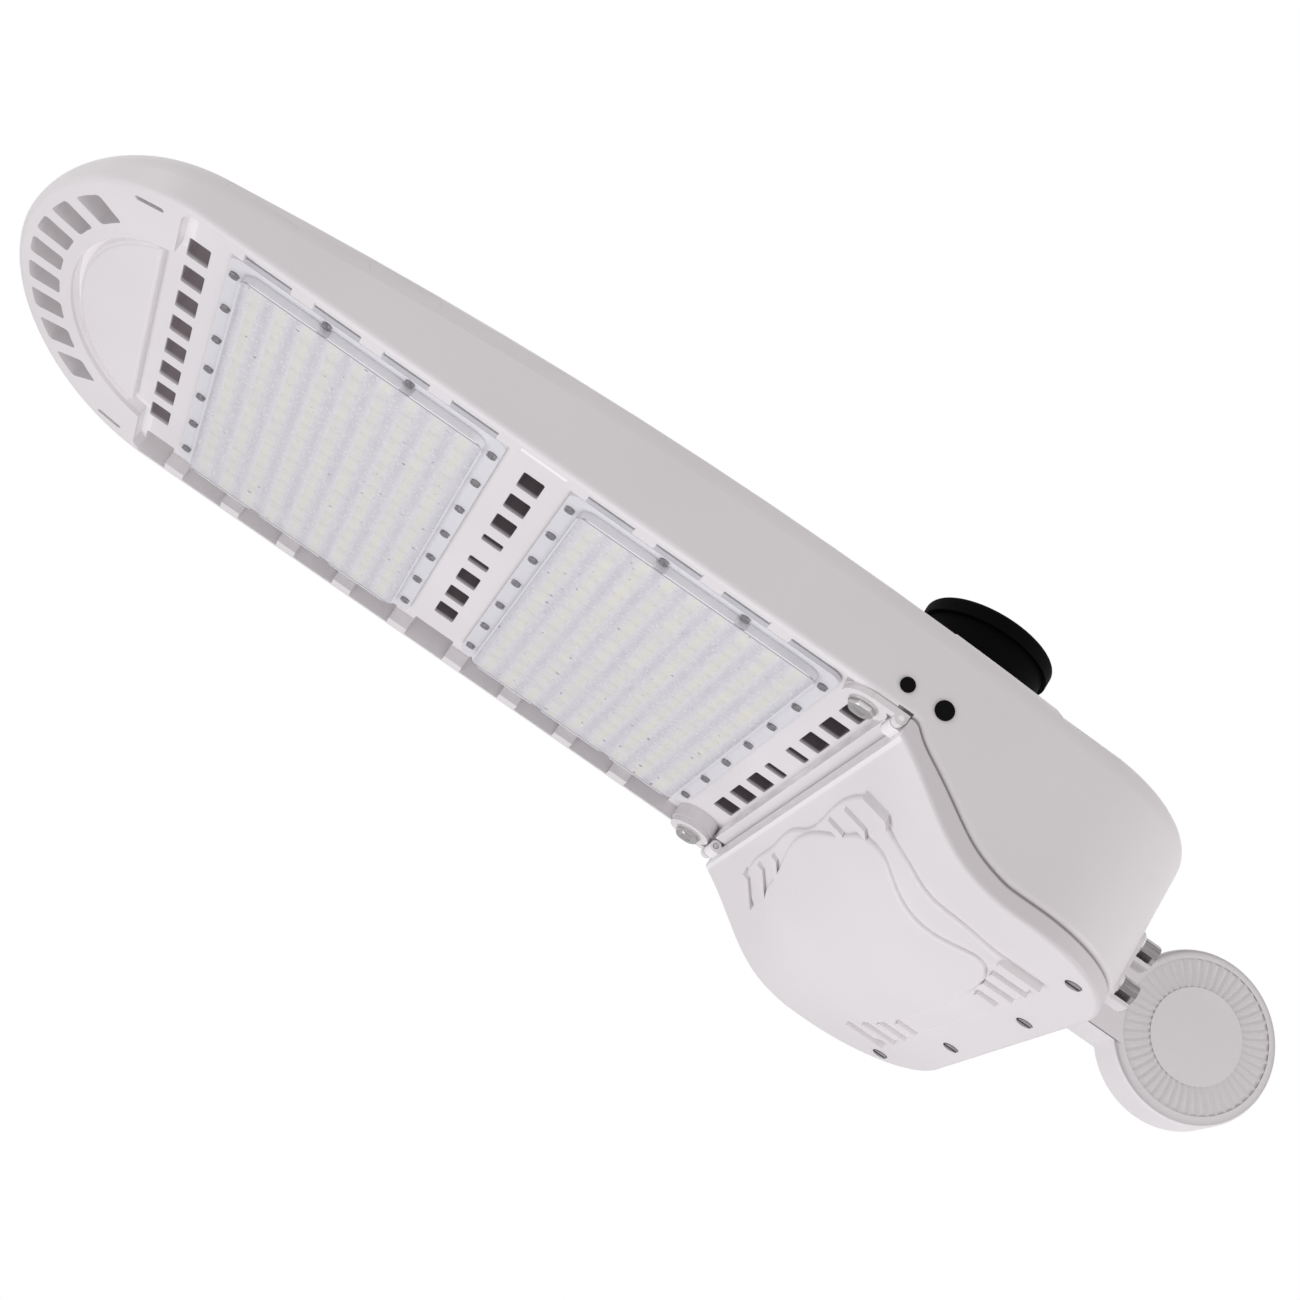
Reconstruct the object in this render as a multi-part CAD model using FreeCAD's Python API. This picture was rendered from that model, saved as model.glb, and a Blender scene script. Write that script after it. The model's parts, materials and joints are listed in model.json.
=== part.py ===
import FreeCAD
import Part
import math
import os

from FreeCAD import Vector

# LED area light head, in millimetres.
# +Z is up and the lit face looks down. The origin is the centre of the toothed
# knuckle disc at the rear, +X runs from the knuckle to the nose.

os.makedirs("parts", exist_ok=True)

# Overall plan of the head
half_width = 180.0
rear_wall_x = 87.0
rear_corner_r = 70.0
nose_start_x = 684.0
nose_length = 100.0
overrun = 4.0

# Levels and walls of the casting
rim_z = -9.5
floor_z = -1.0
plate_top_z = 10.0
top_z = 46.5
top_peak_x = 320.0
top_arc_r = 2620.0
wall = 5.0
rim_width = 5.5
roof = 4.0
rim_round = 3.5
shoulder_round = 14.0

# Driver compartment
bulkhead_x = 256.0
bulkhead = 5.0
seam_front_x = 259.0
seam_level_x = 168.0
seam_low_z = -54.0
dome_crown_z = 84.0
dome_half_width = 165.0
dome_front_x = 296.0
dome_rear_x = 110.0
dome_flat_front_x = 262.0
dome_flat_rear_x = 150.0

# Recessed underside and its vent rows
recess_front_x = 694.0
recess_rear_x = 267.0
recess_corner_r = 10.0
row_a_x = 684.5
row_b_x = 480.0
row_c_x = 276.0
slot_pitch = 34.3
slot_width = 13.0
slot_length = 22.0
narrow_slot_length = 10.0
narrow_slot_y = 20.0
slot_corner_r = 1.5
first_wide_slot_y = 50.8
rim_post_pitch = 40.9
rim_post_first_x = 336.8
rim_post_count = 9
rim_post_width = 13.0
rim_post_depth = 9.0
rim_post_hold = 1.0
rim_vent_inner_y = 158.5
rim_vent_front_x = 690.0

# Cooling fins on the floor plate
fin_thickness = 2.6
fin_top_gap = 8.0
fin_pitch = slot_pitch / 2
fins_each_side = 9

# Nose grille: windows between two ellipses, parted by ribs
window_outer_length = 92.0
window_outer_half = 162.0
window_inner_length = 72.0
window_inner_half = 140.0
window_count = 8
window_rib = 12.5
window_corner_r = 2.5
nose_recess_length = 65.0
nose_recess_half = 124.0
window_fan_x = 590.0
window_end_angle = 42.4
pad_length = 60.5
pad_half = 117.0
pad_rear_x = 701.0
pad_rise = 6.5
pad_round = 2.6
slit_x = 712.0
slit_y = 157.0
slit_length = 17.0
slit_width = 4.0
slit_turn = -18.0

# LED modules
module_front_x = 583.0
module_rear_x = 378.0
lens_length = 166.0
lens_width = 305.0
lens_flange = 2.5
lens_tray_length = 147.0
lens_tray_width = 293.0
lens_wall = 2.2
lens_skin = 2.5
lens_corner_r = 9.0
lens_rib_r = 3.6
lens_rows = 9
lens_row_pitch = 15.8
gasket_thickness = 1.0
gasket_width = 5.0
board_thickness = 1.6
board_pocket_z = 6.0
board_length = 140.0
board_width = 286.0
board_gap = 1.0
chip_size = 3.5
chip_height = 0.7
chips_per_row = 14
chip_pitch = 19.5
board_screw_x = 46.0
board_screw_ys = (27.0, 89.0)
board_screw_head_r = 3.4
board_screw_head = 2.0
board_screw_shank_r = 1.9
board_screw_grip = 3.0
lens_screw_head_r = 2.8
lens_screw_head = 1.6
lens_screw_shank_r = 1.5
lens_screw_grip = 5.0
lens_screw_edge = 4.4
lens_screw_ys = (0.0, 44.5, 89.0, 133.0)
lens_screw_side_y = 148.2
lens_screw_side_x = 25.0
lens_notch_r = 4.2
fit_gap = 0.3

# Driver door
door_front_x = 260.0
door_gap = 1.5
door_inset = 0.5
door_skin = 3.0
door_gasket_inset = 1.0
door_round = 2.6
door_screw_outer = (113.6, 147.0)
door_screw_inner = (101.0, 55.5)
door_screw_r = 2.5
door_screw_head_r = 4.6
door_screw_head = 3.0
door_screw_sunk = 2.4
door_screw_slot = 2.2
door_screw_slot_depth = 2.0
door_screw_reach = 4.0
door_boss_r = 7.0
screw_mouth_r = 4.4
relief_rise = 2.6
relief_round = 2.2
relief_bar_width = 5.0
relief_front_x = 250.0
relief_length = 132.0
relief_half = 125.0
front_rib_turn = 50.0
door_front_z = -21.0
door_low_z = -65.5
door_level_x = 157.0

# Hinge
pin_x = 264.0
pin_z = -13.2
pin_r = 1.6
barrel_r = 3.6
barrel_inner_y = 157.0
barrel_outer_y = 171.5
lug_inner_y = 172.5
lug_outer_y = 178.5
hinge_clear = 0.9
hinge_pocket = 4.0
bracket_thickness = 3.6
bracket_r = 13.2
ear_x = 281.6
ear_y = 165.0
ear_r = 14.0
ear_bolt_r = 4.0
ear_bolt_length = 22.0
hex_across = 13.0
hex_height = 4.4
hex_flange_r = 8.2
hex_flange = 1.4
hex_dimple_r = 3.2
hex_dimple = 0.6

# Mounting arm
knuckle_r = 50.0
knuckle_near = 13.0
knuckle_far = 19.0
knuckle_round = 5.0
tooth_count = 48
tooth_outer_r = 44.2
tooth_inner_r = 28.0
tooth_height = 0.9
neck_low_z = -28.5
neck_high_z = 24.0
flange_half_width = 77.0
flange_half_height = 22.0
flange_thickness = 13.5
flange_z = -11.0
flange_round = 8.0
arm_gasket_thickness = 1.5
arm_bolt_y = 68.0
arm_bolt_upper_z = 3.0
arm_bolt_lower_z = -22.0
arm_bolt_r = 3.0
arm_bolt_length = 26.0
arm_hex_across = 12.0
arm_hex_height = 10.6
ledge_drop = 8.0
ledge_thickness = 2.4
ledge_width = 13.0
washer_r = 7.2
washer_thickness = 1.6
pivot_bore_r = 5.1
pivot_bore_depth = 22.0

# Twist-lock receptacle and cap
cap_x = 213.7
pad_top_z = 91.0
pad_size_x = 80.0
pad_size_y = 110.0
pad_corner_r = 14.0
receptacle_r = 36.0
receptacle_height = 12.0
receptacle_gasket = 1.0
cap_body_r = 38.2
cap_lip_r = 41.0
cap_lip = 10.0
cap_top_z = 132.5
cap_gap = 0.4
cap_wall = 3.0
cap_round = 3.0
blade_r = 16.0
blade_thickness = 1.6
blade_arc = 30.0
blade_reach = 9.0
cap_twist = 25.0
blade_clear = 0.5
contact_thickness = 0.8
wire_hole_r = 18.0
receptacle_screw_r = 2.0
receptacle_screw_y = 27.0
receptacle_screw_head_r = 3.6
receptacle_screw_head = 2.4

# Side plugs in the near wall
plug_z = 2.8
plug_small_x = 270.2
plug_small_r = 3.0
plug_large_x = 247.7
plug_large_r = 4.2
plug_proud = 0.8
plug_flange = 1.1

# Control gear
tray_thickness = 2.0
tray_z = 20.0
tray_x = (104.0, 246.0)
tray_half_width = 141.0
post_r = 6.0
post_x = (117.0, 238.0)
post_y = 128.0
tray_screw_r = 2.0
tray_screw_head_r = 4.0
tray_screw_head = 2.4
driver_size = (66.0, 236.0, 38.0)
driver_x = 206.0
driver_ear = 8.0
driver_ear_thickness = 2.0
driver_round = 5.0
driver_screw_r = 1.9
surge_size = (52.0, 60.0, 34.0)
surge_at = (136.0, 82.0)
surge_round = 4.0
terminal_size = (22.0, 66.0, 20.0)
terminal_at = (116.0, -52.0)
terminal_ways = 5
terminal_screw_r = 3.0
lead_r = 1.4
lead_count = 3
lead_drop = 10.0
ground_screw_at = (150.0, -110.0)
ground_screw_r = 2.5


def box(x0, x1, y0, y1, z0, z1):
    return Part.makeBox(x1 - x0, y1 - y0, z1 - z0, Vector(x0, y0, z0))


def rod(r, x, y, z0, z1):
    return Part.makeCylinder(r, z1 - z0, Vector(x, y, z0))


def rod_y(r, x, z, y0, y1):
    return Part.makeCylinder(r, y1 - y0, Vector(x, y0, z), Vector(0, 1, 0))


def rod_x(r, y, z, x0, x1):
    return Part.makeCylinder(r, x1 - x0, Vector(x0, y, z), Vector(1, 0, 0))


def rounded_box(x0, x1, y0, y1, z0, z1, r):
    solid = box(x0, x1, y0, y1, z0, z1)
    upright = [e for e in solid.Edges if abs(e.tangentAt(e.FirstParameter).z) > 1 - 1e-6]
    return solid.makeFillet(r, upright)


def save(name, shape):
    shape.exportStep("parts/" + name + ".step")
    print(name, len(shape.Solids), "solid(s)", round(shape.Volume))


def group(shapes):
    return Part.makeCompound(shapes)


def one(shape):
    # a boolean result that is a single solid, without its compound shell
    solids = shape.removeSplitter().Solids
    return solids[0] if len(solids) == 1 else Part.makeCompound(solids)


def half_ellipse(x, length, half, z):
    # the front half of an ellipse, from +Y round the front to -Y
    curve = Part.Ellipse(Vector(x, half, z), Vector(x + length, 0, z), Vector(x, 0, z))
    first = curve.toShape(0, math.pi)
    middle = first.valueAt((first.FirstParameter + first.LastParameter) / 2)
    if middle.x > x:
        return first
    return curve.toShape(math.pi, 2 * math.pi)


def plan(inset, z):
    # the head's outline seen from below, moved inwards by inset
    half = half_width - inset
    rear = rear_wall_x + inset
    r = rear_corner_r - inset
    diag = r * math.sqrt(0.5)
    near_mid = Vector(rear + r - diag, half - r + diag, z)
    far_mid = Vector(rear + r - diag, r - half - diag, z)
    edges = [half_ellipse(nose_start_x, nose_length - inset, half, z)]
    edges.append(Part.makeLine(Vector(nose_start_x, -half, z), Vector(rear + r, -half, z)))
    edges.append(Part.Arc(Vector(rear + r, -half, z), far_mid, Vector(rear, r - half, z)).toShape())
    edges.append(Part.makeLine(Vector(rear, r - half, z), Vector(rear, half - r, z)))
    edges.append(Part.Arc(Vector(rear, half - r, z), near_mid, Vector(rear + r, half, z)).toShape())
    edges.append(Part.makeLine(Vector(rear + r, half, z), Vector(nose_start_x, half, z)))
    return Part.Wire(Part.__sortEdges__(edges))


def plan_prism(inset, z0, z1):
    return Part.Face(plan(inset, z0)).extrude(Vector(0, 0, z1 - z0))


def side_slab(points, y0, y1):
    # a profile of X and Z points, some of them arcs, carried across the width
    edges = []
    for start, middle, end in points:
        a = Vector(start[0], y0, start[1])
        b = Vector(end[0], y0, end[1])
        if middle is None:
            edges.append(Part.makeLine(a, b))
        else:
            edges.append(Part.Arc(a, Vector(middle[0], y0, middle[1]), b).toShape())
    return Part.Face(Part.Wire(edges)).extrude(Vector(0, y1 - y0, 0))


def chain(points):
    # straight runs through the points, closed
    runs = []
    for i, start in enumerate(points):
        runs.append((start, None, points[(i + 1) % len(points)]))
    return runs


# The door seam on the side walls, an S-curve from the rim down to the rear level,
# as shares of its length and its fall
seam_shares = ((0.0, 0.0), (0.08, 0.09), (0.2, 0.265), (0.32, 0.41), (0.5, 0.65), (0.7, 0.875), (0.88, 0.982),
               (1.0, 1.0))
far_front_x = nose_start_x + nose_length + rim_width
far_rear_x = rear_wall_x - rim_width


def seam_points(drop):
    run = seam_front_x - seam_level_x
    fall = rim_z - seam_low_z
    return [Vector(seam_front_x - run * x, 0, rim_z - fall * z - drop) for x, z in seam_shares]


def seam_edges(drop, y):
    # front to rear: a level stretch, the S-curve, and a level rear stretch
    points = [Vector(p.x, y, p.z) for p in seam_points(drop)]
    curve = Part.BSplineCurve()
    curve.interpolate(Points=points, InitialTangent=Vector(-1, 0, 0), FinalTangent=Vector(-1, 0, 0))
    start = Vector(far_front_x, y, rim_z - drop)
    end = Vector(far_rear_x, y, seam_low_z - drop)
    return [Part.makeLine(start, points[0]), curve.toShape(), Part.makeLine(points[-1], end)]


def above_seam(drop, z_high, y0, y1):
    edges = seam_edges(drop, y0)
    corner_rear = Vector(far_rear_x, y0, z_high)
    corner_front = Vector(far_front_x, y0, z_high)
    edges.append(Part.makeLine(Vector(far_rear_x, y0, seam_low_z - drop), corner_rear))
    edges.append(Part.makeLine(corner_rear, corner_front))
    edges.append(Part.makeLine(corner_front, Vector(far_front_x, y0, rim_z - drop)))
    return Part.Face(Part.Wire(Part.__sortEdges__(edges))).extrude(Vector(0, y1 - y0, 0))


def top_drop(x):
    # how far the arched top has fallen below its highest line
    run = x - top_peak_x
    return top_arc_r - math.sqrt(top_arc_r ** 2 - run ** 2)


def under_top(lower, z_low):
    # everything under the top line, one very large arc from the rear to the nose
    z = top_z - lower
    rear = (far_rear_x, z - top_drop(far_rear_x))
    front = (far_front_x, z - top_drop(far_front_x))
    runs = [((far_rear_x, z_low), None, rear), (rear, (top_peak_x, z), front),
            (front, None, (far_front_x, z_low)), ((far_front_x, z_low), None, (far_rear_x, z_low))]
    return side_slab(runs, -half_width - overrun, half_width + overrun)


def dome(lower):
    # crowned roof over the driver compartment: an arc across and a ramped profile along
    half = dome_half_width - lower
    z = top_z - top_drop(far_rear_x) - roof - lower
    low = z - roof
    crown = dome_crown_z - lower
    a = Vector(far_rear_x, -half, z)
    b = Vector(far_rear_x, half, z)
    arc = Part.Arc(a, Vector(far_rear_x, 0, crown), b).toShape()
    base = [Part.makeLine(b, Vector(far_rear_x, half, low)),
            Part.makeLine(Vector(far_rear_x, half, low), Vector(far_rear_x, -half, low)),
            Part.makeLine(Vector(far_rear_x, -half, low), a)]
    across = Part.Face(Part.Wire([arc] + base)).extrude(Vector(far_front_x - far_rear_x, 0, 0))
    along = side_slab(chain([(dome_rear_x + lower, low), (dome_rear_x + lower, z),
                             (dome_flat_rear_x + lower, crown), (dome_flat_front_x - lower, crown),
                             (dome_front_x - lower, z), (dome_front_x - lower, low)]),
                      -half_width, half_width)
    return across.common(along).common(plan_prism(shoulder_round + lower, 0, cap_top_z))


def outer_shell():
    body = plan_prism(0, seam_low_z - overrun, top_z + overrun).common(under_top(0, seam_low_z - overrun))
    body = body.removeSplitter()
    top_edges = []
    for e in body.Edges:
        mid = e.valueAt((e.FirstParameter + e.LastParameter) / 2)
        on_top = mid.z > top_z - top_drop(mid.x) - 1e-3
        inside = abs(mid.y) < half_width - rim_width and rear_wall_x + rim_width < mid.x < nose_start_x
        if on_top and not inside:
            top_edges.append(e)
    body = body.makeFillet(shoulder_round, top_edges)
    body = body.common(above_seam(0, top_z + overrun, -half_width - overrun, half_width + overrun))
    low_edges = []
    for e in body.Edges:
        mid = e.valueAt((e.FirstParameter + e.LastParameter) / 2)
        front = mid.x > nose_start_x or abs(mid.y) > half_width - 1e-3
        if abs(mid.z - rim_z) < 1e-3 and front:
            low_edges.append(e)
    return body.makeFillet(rim_round, low_edges)


def slot(x, y, length, z0, z1):
    return rounded_box(x - slot_width / 2, x + slot_width / 2, y - length / 2, y + length / 2, z0, z1,
                       slot_corner_r)


def row_slots():
    cuts = []
    z0 = floor_z - overrun
    z1 = plate_top_z + overrun
    for i in range(4):
        for side in (-1, 1):
            cuts.append(slot(row_a_x, side * slot_pitch * (i + 0.5), slot_length, z0, z1))
    for x in (row_b_x, row_c_x):
        for side in (-1, 1):
            cuts.append(slot(x, side * narrow_slot_y, narrow_slot_length, z0, z1))
            for i in range(3):
                cuts.append(slot(x, side * (first_wide_slot_y + i * slot_pitch), slot_length, z0, z1))
    return cuts


def ellipse_prism(length, half, z0, z1):
    x = nose_start_x
    arc = half_ellipse(x, length, half, z0)
    chord = Part.makeLine(Vector(x, -half, z0), Vector(x, half, z0))
    return Part.Face(Part.Wire([arc, chord])).extrude(Vector(0, 0, z1 - z0))


def nose_windows():
    # the ring between two ellipses, cut by ribs that fan out from one point
    z0 = rim_z - overrun
    z1 = plate_top_z + overrun
    ring = ellipse_prism(window_outer_length, window_outer_half, z0, z1)
    ring = ring.cut(ellipse_prism(window_inner_length, window_inner_half, z0 - overrun, z1 + overrun))
    reach = nose_start_x + nose_length - window_fan_x + half_width
    step = 2 * window_end_angle / window_count
    cells = []
    for i in range(window_count):
        low = math.radians(-window_end_angle + step * i)
        high = math.radians(-window_end_angle + step * (i + 1))
        fan = Part.makePolygon([Vector(window_fan_x, 0, z0),
                                Vector(window_fan_x + reach * math.cos(low), reach * math.sin(low), z0),
                                Vector(window_fan_x + reach * math.cos(high), reach * math.sin(high), z0),
                                Vector(window_fan_x, 0, z0)])
        wedge = Part.Face(fan).extrude(Vector(0, 0, z1 - z0))
        middle = (low + high) / 2
        shift = window_rib / 2 / math.sin((high - low) / 2)
        wedge.translate(Vector(shift * math.cos(middle), shift * math.sin(middle), 0))
        cell = ring.common(wedge)
        upright = [e for e in cell.Edges if e.BoundBox.XLength + e.BoundBox.YLength < 1e-3]
        cells.append(cell.makeFillet(window_corner_r, upright))
    return cells


def recess():
    flat = rounded_box(recess_rear_x, recess_front_x, rim_width - half_width, half_width - rim_width,
                       rim_z - overrun, floor_z, recess_corner_r)
    round_part = ellipse_prism(nose_recess_length, nose_recess_half, rim_z - overrun, floor_z)
    return flat.fuse(round_part)


def rim_posts():
    posts = []
    outer = half_width - rim_width + rim_post_hold
    inner = half_width - rim_width - rim_post_depth
    for i in range(rim_post_count):
        x = rim_post_first_x + i * rim_post_pitch
        for side in (-1, 1):
            y0, y1 = sorted((side * inner, side * outer))
            posts.append(box(x - rim_post_width / 2, x + rim_post_width / 2, y0, y1, rim_z, floor_z + overrun))
    return posts


def rim_vents():
    # openings between the posts, from the rim's inner face to the edge of the LED floor
    cuts = []
    for i in range(-1, rim_post_count):
        x0 = rim_post_first_x + i * rim_post_pitch + rim_post_width / 2
        x1 = min(x0 + rim_post_pitch - rim_post_width, rim_vent_front_x)
        for side in (-1, 1):
            y0, y1 = sorted((side * rim_vent_inner_y, side * (half_width - rim_width)))
            cuts.append(rounded_box(x0, x1, y0, y1, rim_z, plate_top_z + overrun, slot_corner_r))
    return cuts


def fins():
    shapes = []
    inner = plan_prism(wall, plate_top_z - overrun, top_z).common(under_top(fin_top_gap, floor_z))
    for i in range(-fins_each_side, fins_each_side + 1):
        y = i * fin_pitch
        blade = box(bulkhead_x + bulkhead / 2, far_front_x, y - fin_thickness / 2, y + fin_thickness / 2,
                    plate_top_z - roof, top_z)
        shapes.append(blade.common(inner))
    return shapes


def module_centres():
    return (module_front_x, module_rear_x)


def lens_notches(cx):
    # screws that stand in notches of the tray's long side walls
    return [(cx + sx * lens_screw_side_x, sy * lens_screw_side_y) for sx in (-1, 1) for sy in (-1, 1)]


def lens_screw_places(cx):
    edge_x = lens_length / 2 - lens_screw_edge
    places = lens_notches(cx)
    for sx in (-1, 1):
        for y in lens_screw_ys:
            for sy in ((-1, 1) if y > 0 else (1,)):
                places.append((cx + sx * edge_x, sy * y))
    return places


def board_screw_places(cx):
    return [(cx + sx * board_screw_x, sy * y) for sx in (-1, 1) for sy in (-1, 1) for y in board_screw_ys]


door_screws_xy = [(x, s * y) for x, y in (door_screw_outer, door_screw_inner) for s in (-1, 1)]
arm_bolts_yz = [(s * arm_bolt_y, z) for z in (arm_bolt_upper_z, arm_bolt_lower_z) for s in (-1, 1)]
flange_front_x = rear_wall_x - arm_gasket_thickness
flange_back_x = flange_front_x - flange_thickness


def arm_pad():
    # thickened rear wall that takes the arm's four bolts
    depth = arm_bolt_length - flange_thickness
    return box(rear_wall_x, rear_wall_x + depth, -flange_half_width, flange_half_width,
               flange_z - flange_half_height, flange_z + flange_half_height)


def housing():
    body = outer_shell()
    body = body.fuse(dome(0)).removeSplitter()
    pad = rounded_box(cap_x - pad_size_x / 2, cap_x + pad_size_x / 2, -pad_size_y / 2, pad_size_y / 2,
                      top_z, pad_top_z, pad_corner_r)
    body = body.multiFuse([pad, arm_pad()])
    outside = body.copy()
    # driver compartment, open below
    room_side = plan_prism(wall, seam_low_z - overrun, top_z).common(under_top(shoulder_round, 2 * seam_low_z))
    room_top = plan_prism(shoulder_round, 0, top_z).common(under_top(roof, -overrun))
    room_cut = box(far_rear_x, bulkhead_x, -half_width, half_width, seam_low_z - 2 * overrun, top_z)
    room = room_side.fuse(room_top).common(room_cut)
    inner_dome = dome(roof).common(box(far_rear_x, bulkhead_x, -half_width, half_width, 0, cap_top_z))
    body = body.cut(room.fuse(inner_dome))
    # open space above the LED floor plate
    above = plan_prism(wall, plate_top_z, cap_top_z)
    above = above.common(box(bulkhead_x + bulkhead, far_front_x, -half_width, half_width, plate_top_z, cap_top_z))
    keep = dome(0)
    body = body.cut(above.cut(keep))
    body = body.cut(recess())
    raised_pad = ellipse_prism(pad_length, pad_half, floor_z - pad_rise, floor_z + overrun)
    raised_pad = raised_pad.common(box(pad_rear_x, far_front_x, -half_width, half_width,
                                       floor_z - 2 * pad_rise, floor_z + 2 * overrun))
    raised_pad = raised_pad.makeFillet(pad_round, [e for e in raised_pad.Edges
                                                   if e.BoundBox.ZMax < floor_z - pad_rise / 2])
    ears = [rod(ear_r, ear_x, s * ear_y, rim_z, floor_z + overrun).common(outside) for s in (-1, 1)]
    body = body.multiFuse(rim_posts() + [raised_pad] + ears + fins())
    # bosses inside: tray posts, door screw bosses and the pad behind the arm
    inside = [rod(post_r, x, s * post_y, tray_z + tray_thickness, pad_top_z) for x in post_x for s in (-1, 1)]
    for x, y in door_screws_xy:
        boss = rod(door_boss_r, x, y, seam_low_z - overrun, flange_z)
        bridge = box(rear_wall_x + wall / 2, x, y - wall / 2, y + wall / 2, seam_low_z - overrun, flange_z)
        inside.append(boss.fuse(bridge))
    inside.append(arm_pad())
    inside = [s.common(outside) for s in inside]
    body = body.multiFuse(inside)
    cuts = row_slots() + nose_windows() + rim_vents()
    for s in (-1, 1):
        y0, y1 = sorted((s * (barrel_inner_y - hinge_clear), s * (lug_outer_y + hinge_clear)))
        reach = barrel_r + hinge_clear
        cuts.append(box(pin_x - reach, pin_x + reach, y0, y1, rim_z - overrun, rim_z + hinge_pocket))
    slit = rounded_box(-slit_length / 2, slit_length / 2, -slit_width / 2, slit_width / 2,
                       rim_z - overrun, plate_top_z + overrun, slit_width / 2 - fit_gap)
    for s in (-1, 1):
        piece = slit.copy()
        piece.rotate(Vector(0, 0, 0), Vector(0, 0, 1), s * slit_turn)
        piece.translate(Vector(slit_x, s * slit_y, 0))
        cuts.append(piece)
        cuts.append(rod(ear_bolt_r, ear_x, s * ear_y, rim_z - overrun, rim_z + ear_bolt_length))
    for cx in module_centres():
        cuts.append(box(cx - board_length / 2 - board_gap, cx + board_length / 2 + board_gap,
                        -board_width / 2 - board_gap, board_width / 2 + board_gap,
                        floor_z - overrun, board_pocket_z))
        for x, y in board_screw_places(cx):
            cuts.append(rod(board_screw_shank_r, x, y, floor_z, board_pocket_z + board_screw_grip))
        for x, y in lens_screw_places(cx):
            cuts.append(rod(lens_screw_shank_r, x, y, rim_z - overrun, floor_z + lens_screw_grip))
    for x, y in door_screws_xy:
        cuts.append(rod(screw_mouth_r, x, y, seam_low_z - overrun, seam_low_z + door_screw_reach + overrun))
    for y, z in arm_bolts_yz:
        cuts.append(rod_x(arm_bolt_r, y, z, rear_wall_x - overrun, flange_back_x + arm_bolt_length))
    for x in post_x:
        for s in (-1, 1):
            cuts.append(rod(tray_screw_r, x, s * post_y, tray_z, top_z - roof))
    cuts.append(rod(wire_hole_r, cap_x, 0, top_z - roof, cap_top_z))
    for s in (-1, 1):
        cuts.append(rod(receptacle_screw_r, cap_x, s * receptacle_screw_y, pad_top_z - roof, cap_top_z))
    inner_y = half_width - wall - overrun
    cuts.append(rod_y(plug_small_r, plug_small_x, plug_z, inner_y, half_width + overrun))
    cuts.append(rod_y(plug_large_r, plug_large_x, plug_z, inner_y, half_width + overrun))
    return one(body.cut(cuts))


def hex_bolt(across, height, length, grip_r):
    # a chamfered, dimpled hex head below and a shank above, pointing up from the seat at zero
    prism = Part.Face(Part.makePolygon([Vector(across / math.sqrt(3) * math.cos(math.radians(a)),
                                       across / math.sqrt(3) * math.sin(math.radians(a)),
                                       -height) for a in range(0, 361, 60)]))
    head = prism.extrude(Vector(0, 0, height))
    tip = across / 2 + hex_dimple / 2
    cone = Part.makeCone(tip, tip + height, height, Vector(0, 0, -height))
    head = head.common(cone).cut(rod(hex_dimple_r, 0, 0, -height - overrun, hex_dimple - height))
    return one(head.fuse(rod(grip_r, 0, 0, 0, length)))


def pan_screw(head_r, head, shank_r, length):
    # head below zero, shank above
    return one(rod(head_r, 0, 0, -head, 0).fuse(rod(shank_r, 0, 0, 0, length)))


def placed(shape, x, y, z):
    copy = shape.copy()
    copy.translate(Vector(x, y, z))
    return copy


def lens_plate(cx):
    # a clear tray: flange on the gasket, upright walls, ribbed window
    z_seat = floor_z - gasket_thickness
    half_x = lens_tray_length / 2
    half_y = lens_tray_width / 2
    flange = rounded_box(cx - lens_length / 2, cx + lens_length / 2, -lens_width / 2, lens_width / 2,
                         z_seat - lens_flange, z_seat, lens_corner_r - lens_wall)
    tray = rounded_box(cx - half_x, cx + half_x, -half_y, half_y, rim_z, z_seat, lens_corner_r)
    in_x = half_x - lens_wall
    in_y = half_y - lens_wall
    inner_top = rim_z + lens_skin
    hollow = rounded_box(cx - in_x, cx + in_x, -in_y, in_y, inner_top, z_seat + overrun, lens_corner_r - lens_wall)
    posts = []
    notches = []
    for x, y in lens_notches(cx):
        posts.append(rod(lens_notch_r + lens_wall, x, y, inner_top, z_seat + overrun))
        notches.append(rod(lens_notch_r, x, y, rim_z - overrun, z_seat - lens_flange))
    hollow = hollow.cut(posts)
    ribs = []
    for i in range(lens_rows):
        x = cx + (i - (lens_rows - 1) / 2) * lens_row_pitch
        rib_y = in_y - 2 * lens_corner_r
        bar = rod_y(lens_rib_r, x, inner_top, -rib_y, rib_y)
        ribs.append(bar.common(box(x - lens_rib_r, x + lens_rib_r, -in_y, in_y, inner_top - lens_skin / 2, 0)))
    body = flange.fuse(tray).removeSplitter().cut(hollow).multiFuse(ribs)
    holes = [rod(lens_screw_shank_r + fit_gap, x, y, rim_z - overrun, floor_z) for x, y in lens_screw_places(cx)]
    return one(body.cut(notches + holes))


def lens_gasket(cx):
    z0 = floor_z - gasket_thickness
    in_x = lens_length / 2 - lens_screw_edge - gasket_width
    in_y = lens_width / 2 - 2 * gasket_width
    outer = rounded_box(cx - lens_length / 2, cx + lens_length / 2, -lens_width / 2, lens_width / 2,
                        z0, floor_z, lens_corner_r - lens_wall)
    inner = rounded_box(cx - in_x, cx + in_x, -in_y, in_y, z0 - overrun, floor_z + overrun, lens_wall)
    holes = [rod(lens_screw_shank_r + fit_gap, x, y, rim_z, floor_z + overrun) for x, y in lens_screw_places(cx)]
    return one(outer.cut(inner).cut(holes))


def led_board(cx):
    z1 = board_pocket_z
    z0 = z1 - board_thickness
    board = box(cx - board_length / 2, cx + board_length / 2, -board_width / 2, board_width / 2, z0, z1)
    holes = [rod(board_screw_shank_r + fit_gap, x, y, z0 - overrun, z1 + overrun) for x, y in board_screw_places(cx)]
    return one(board.cut(holes))


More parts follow.
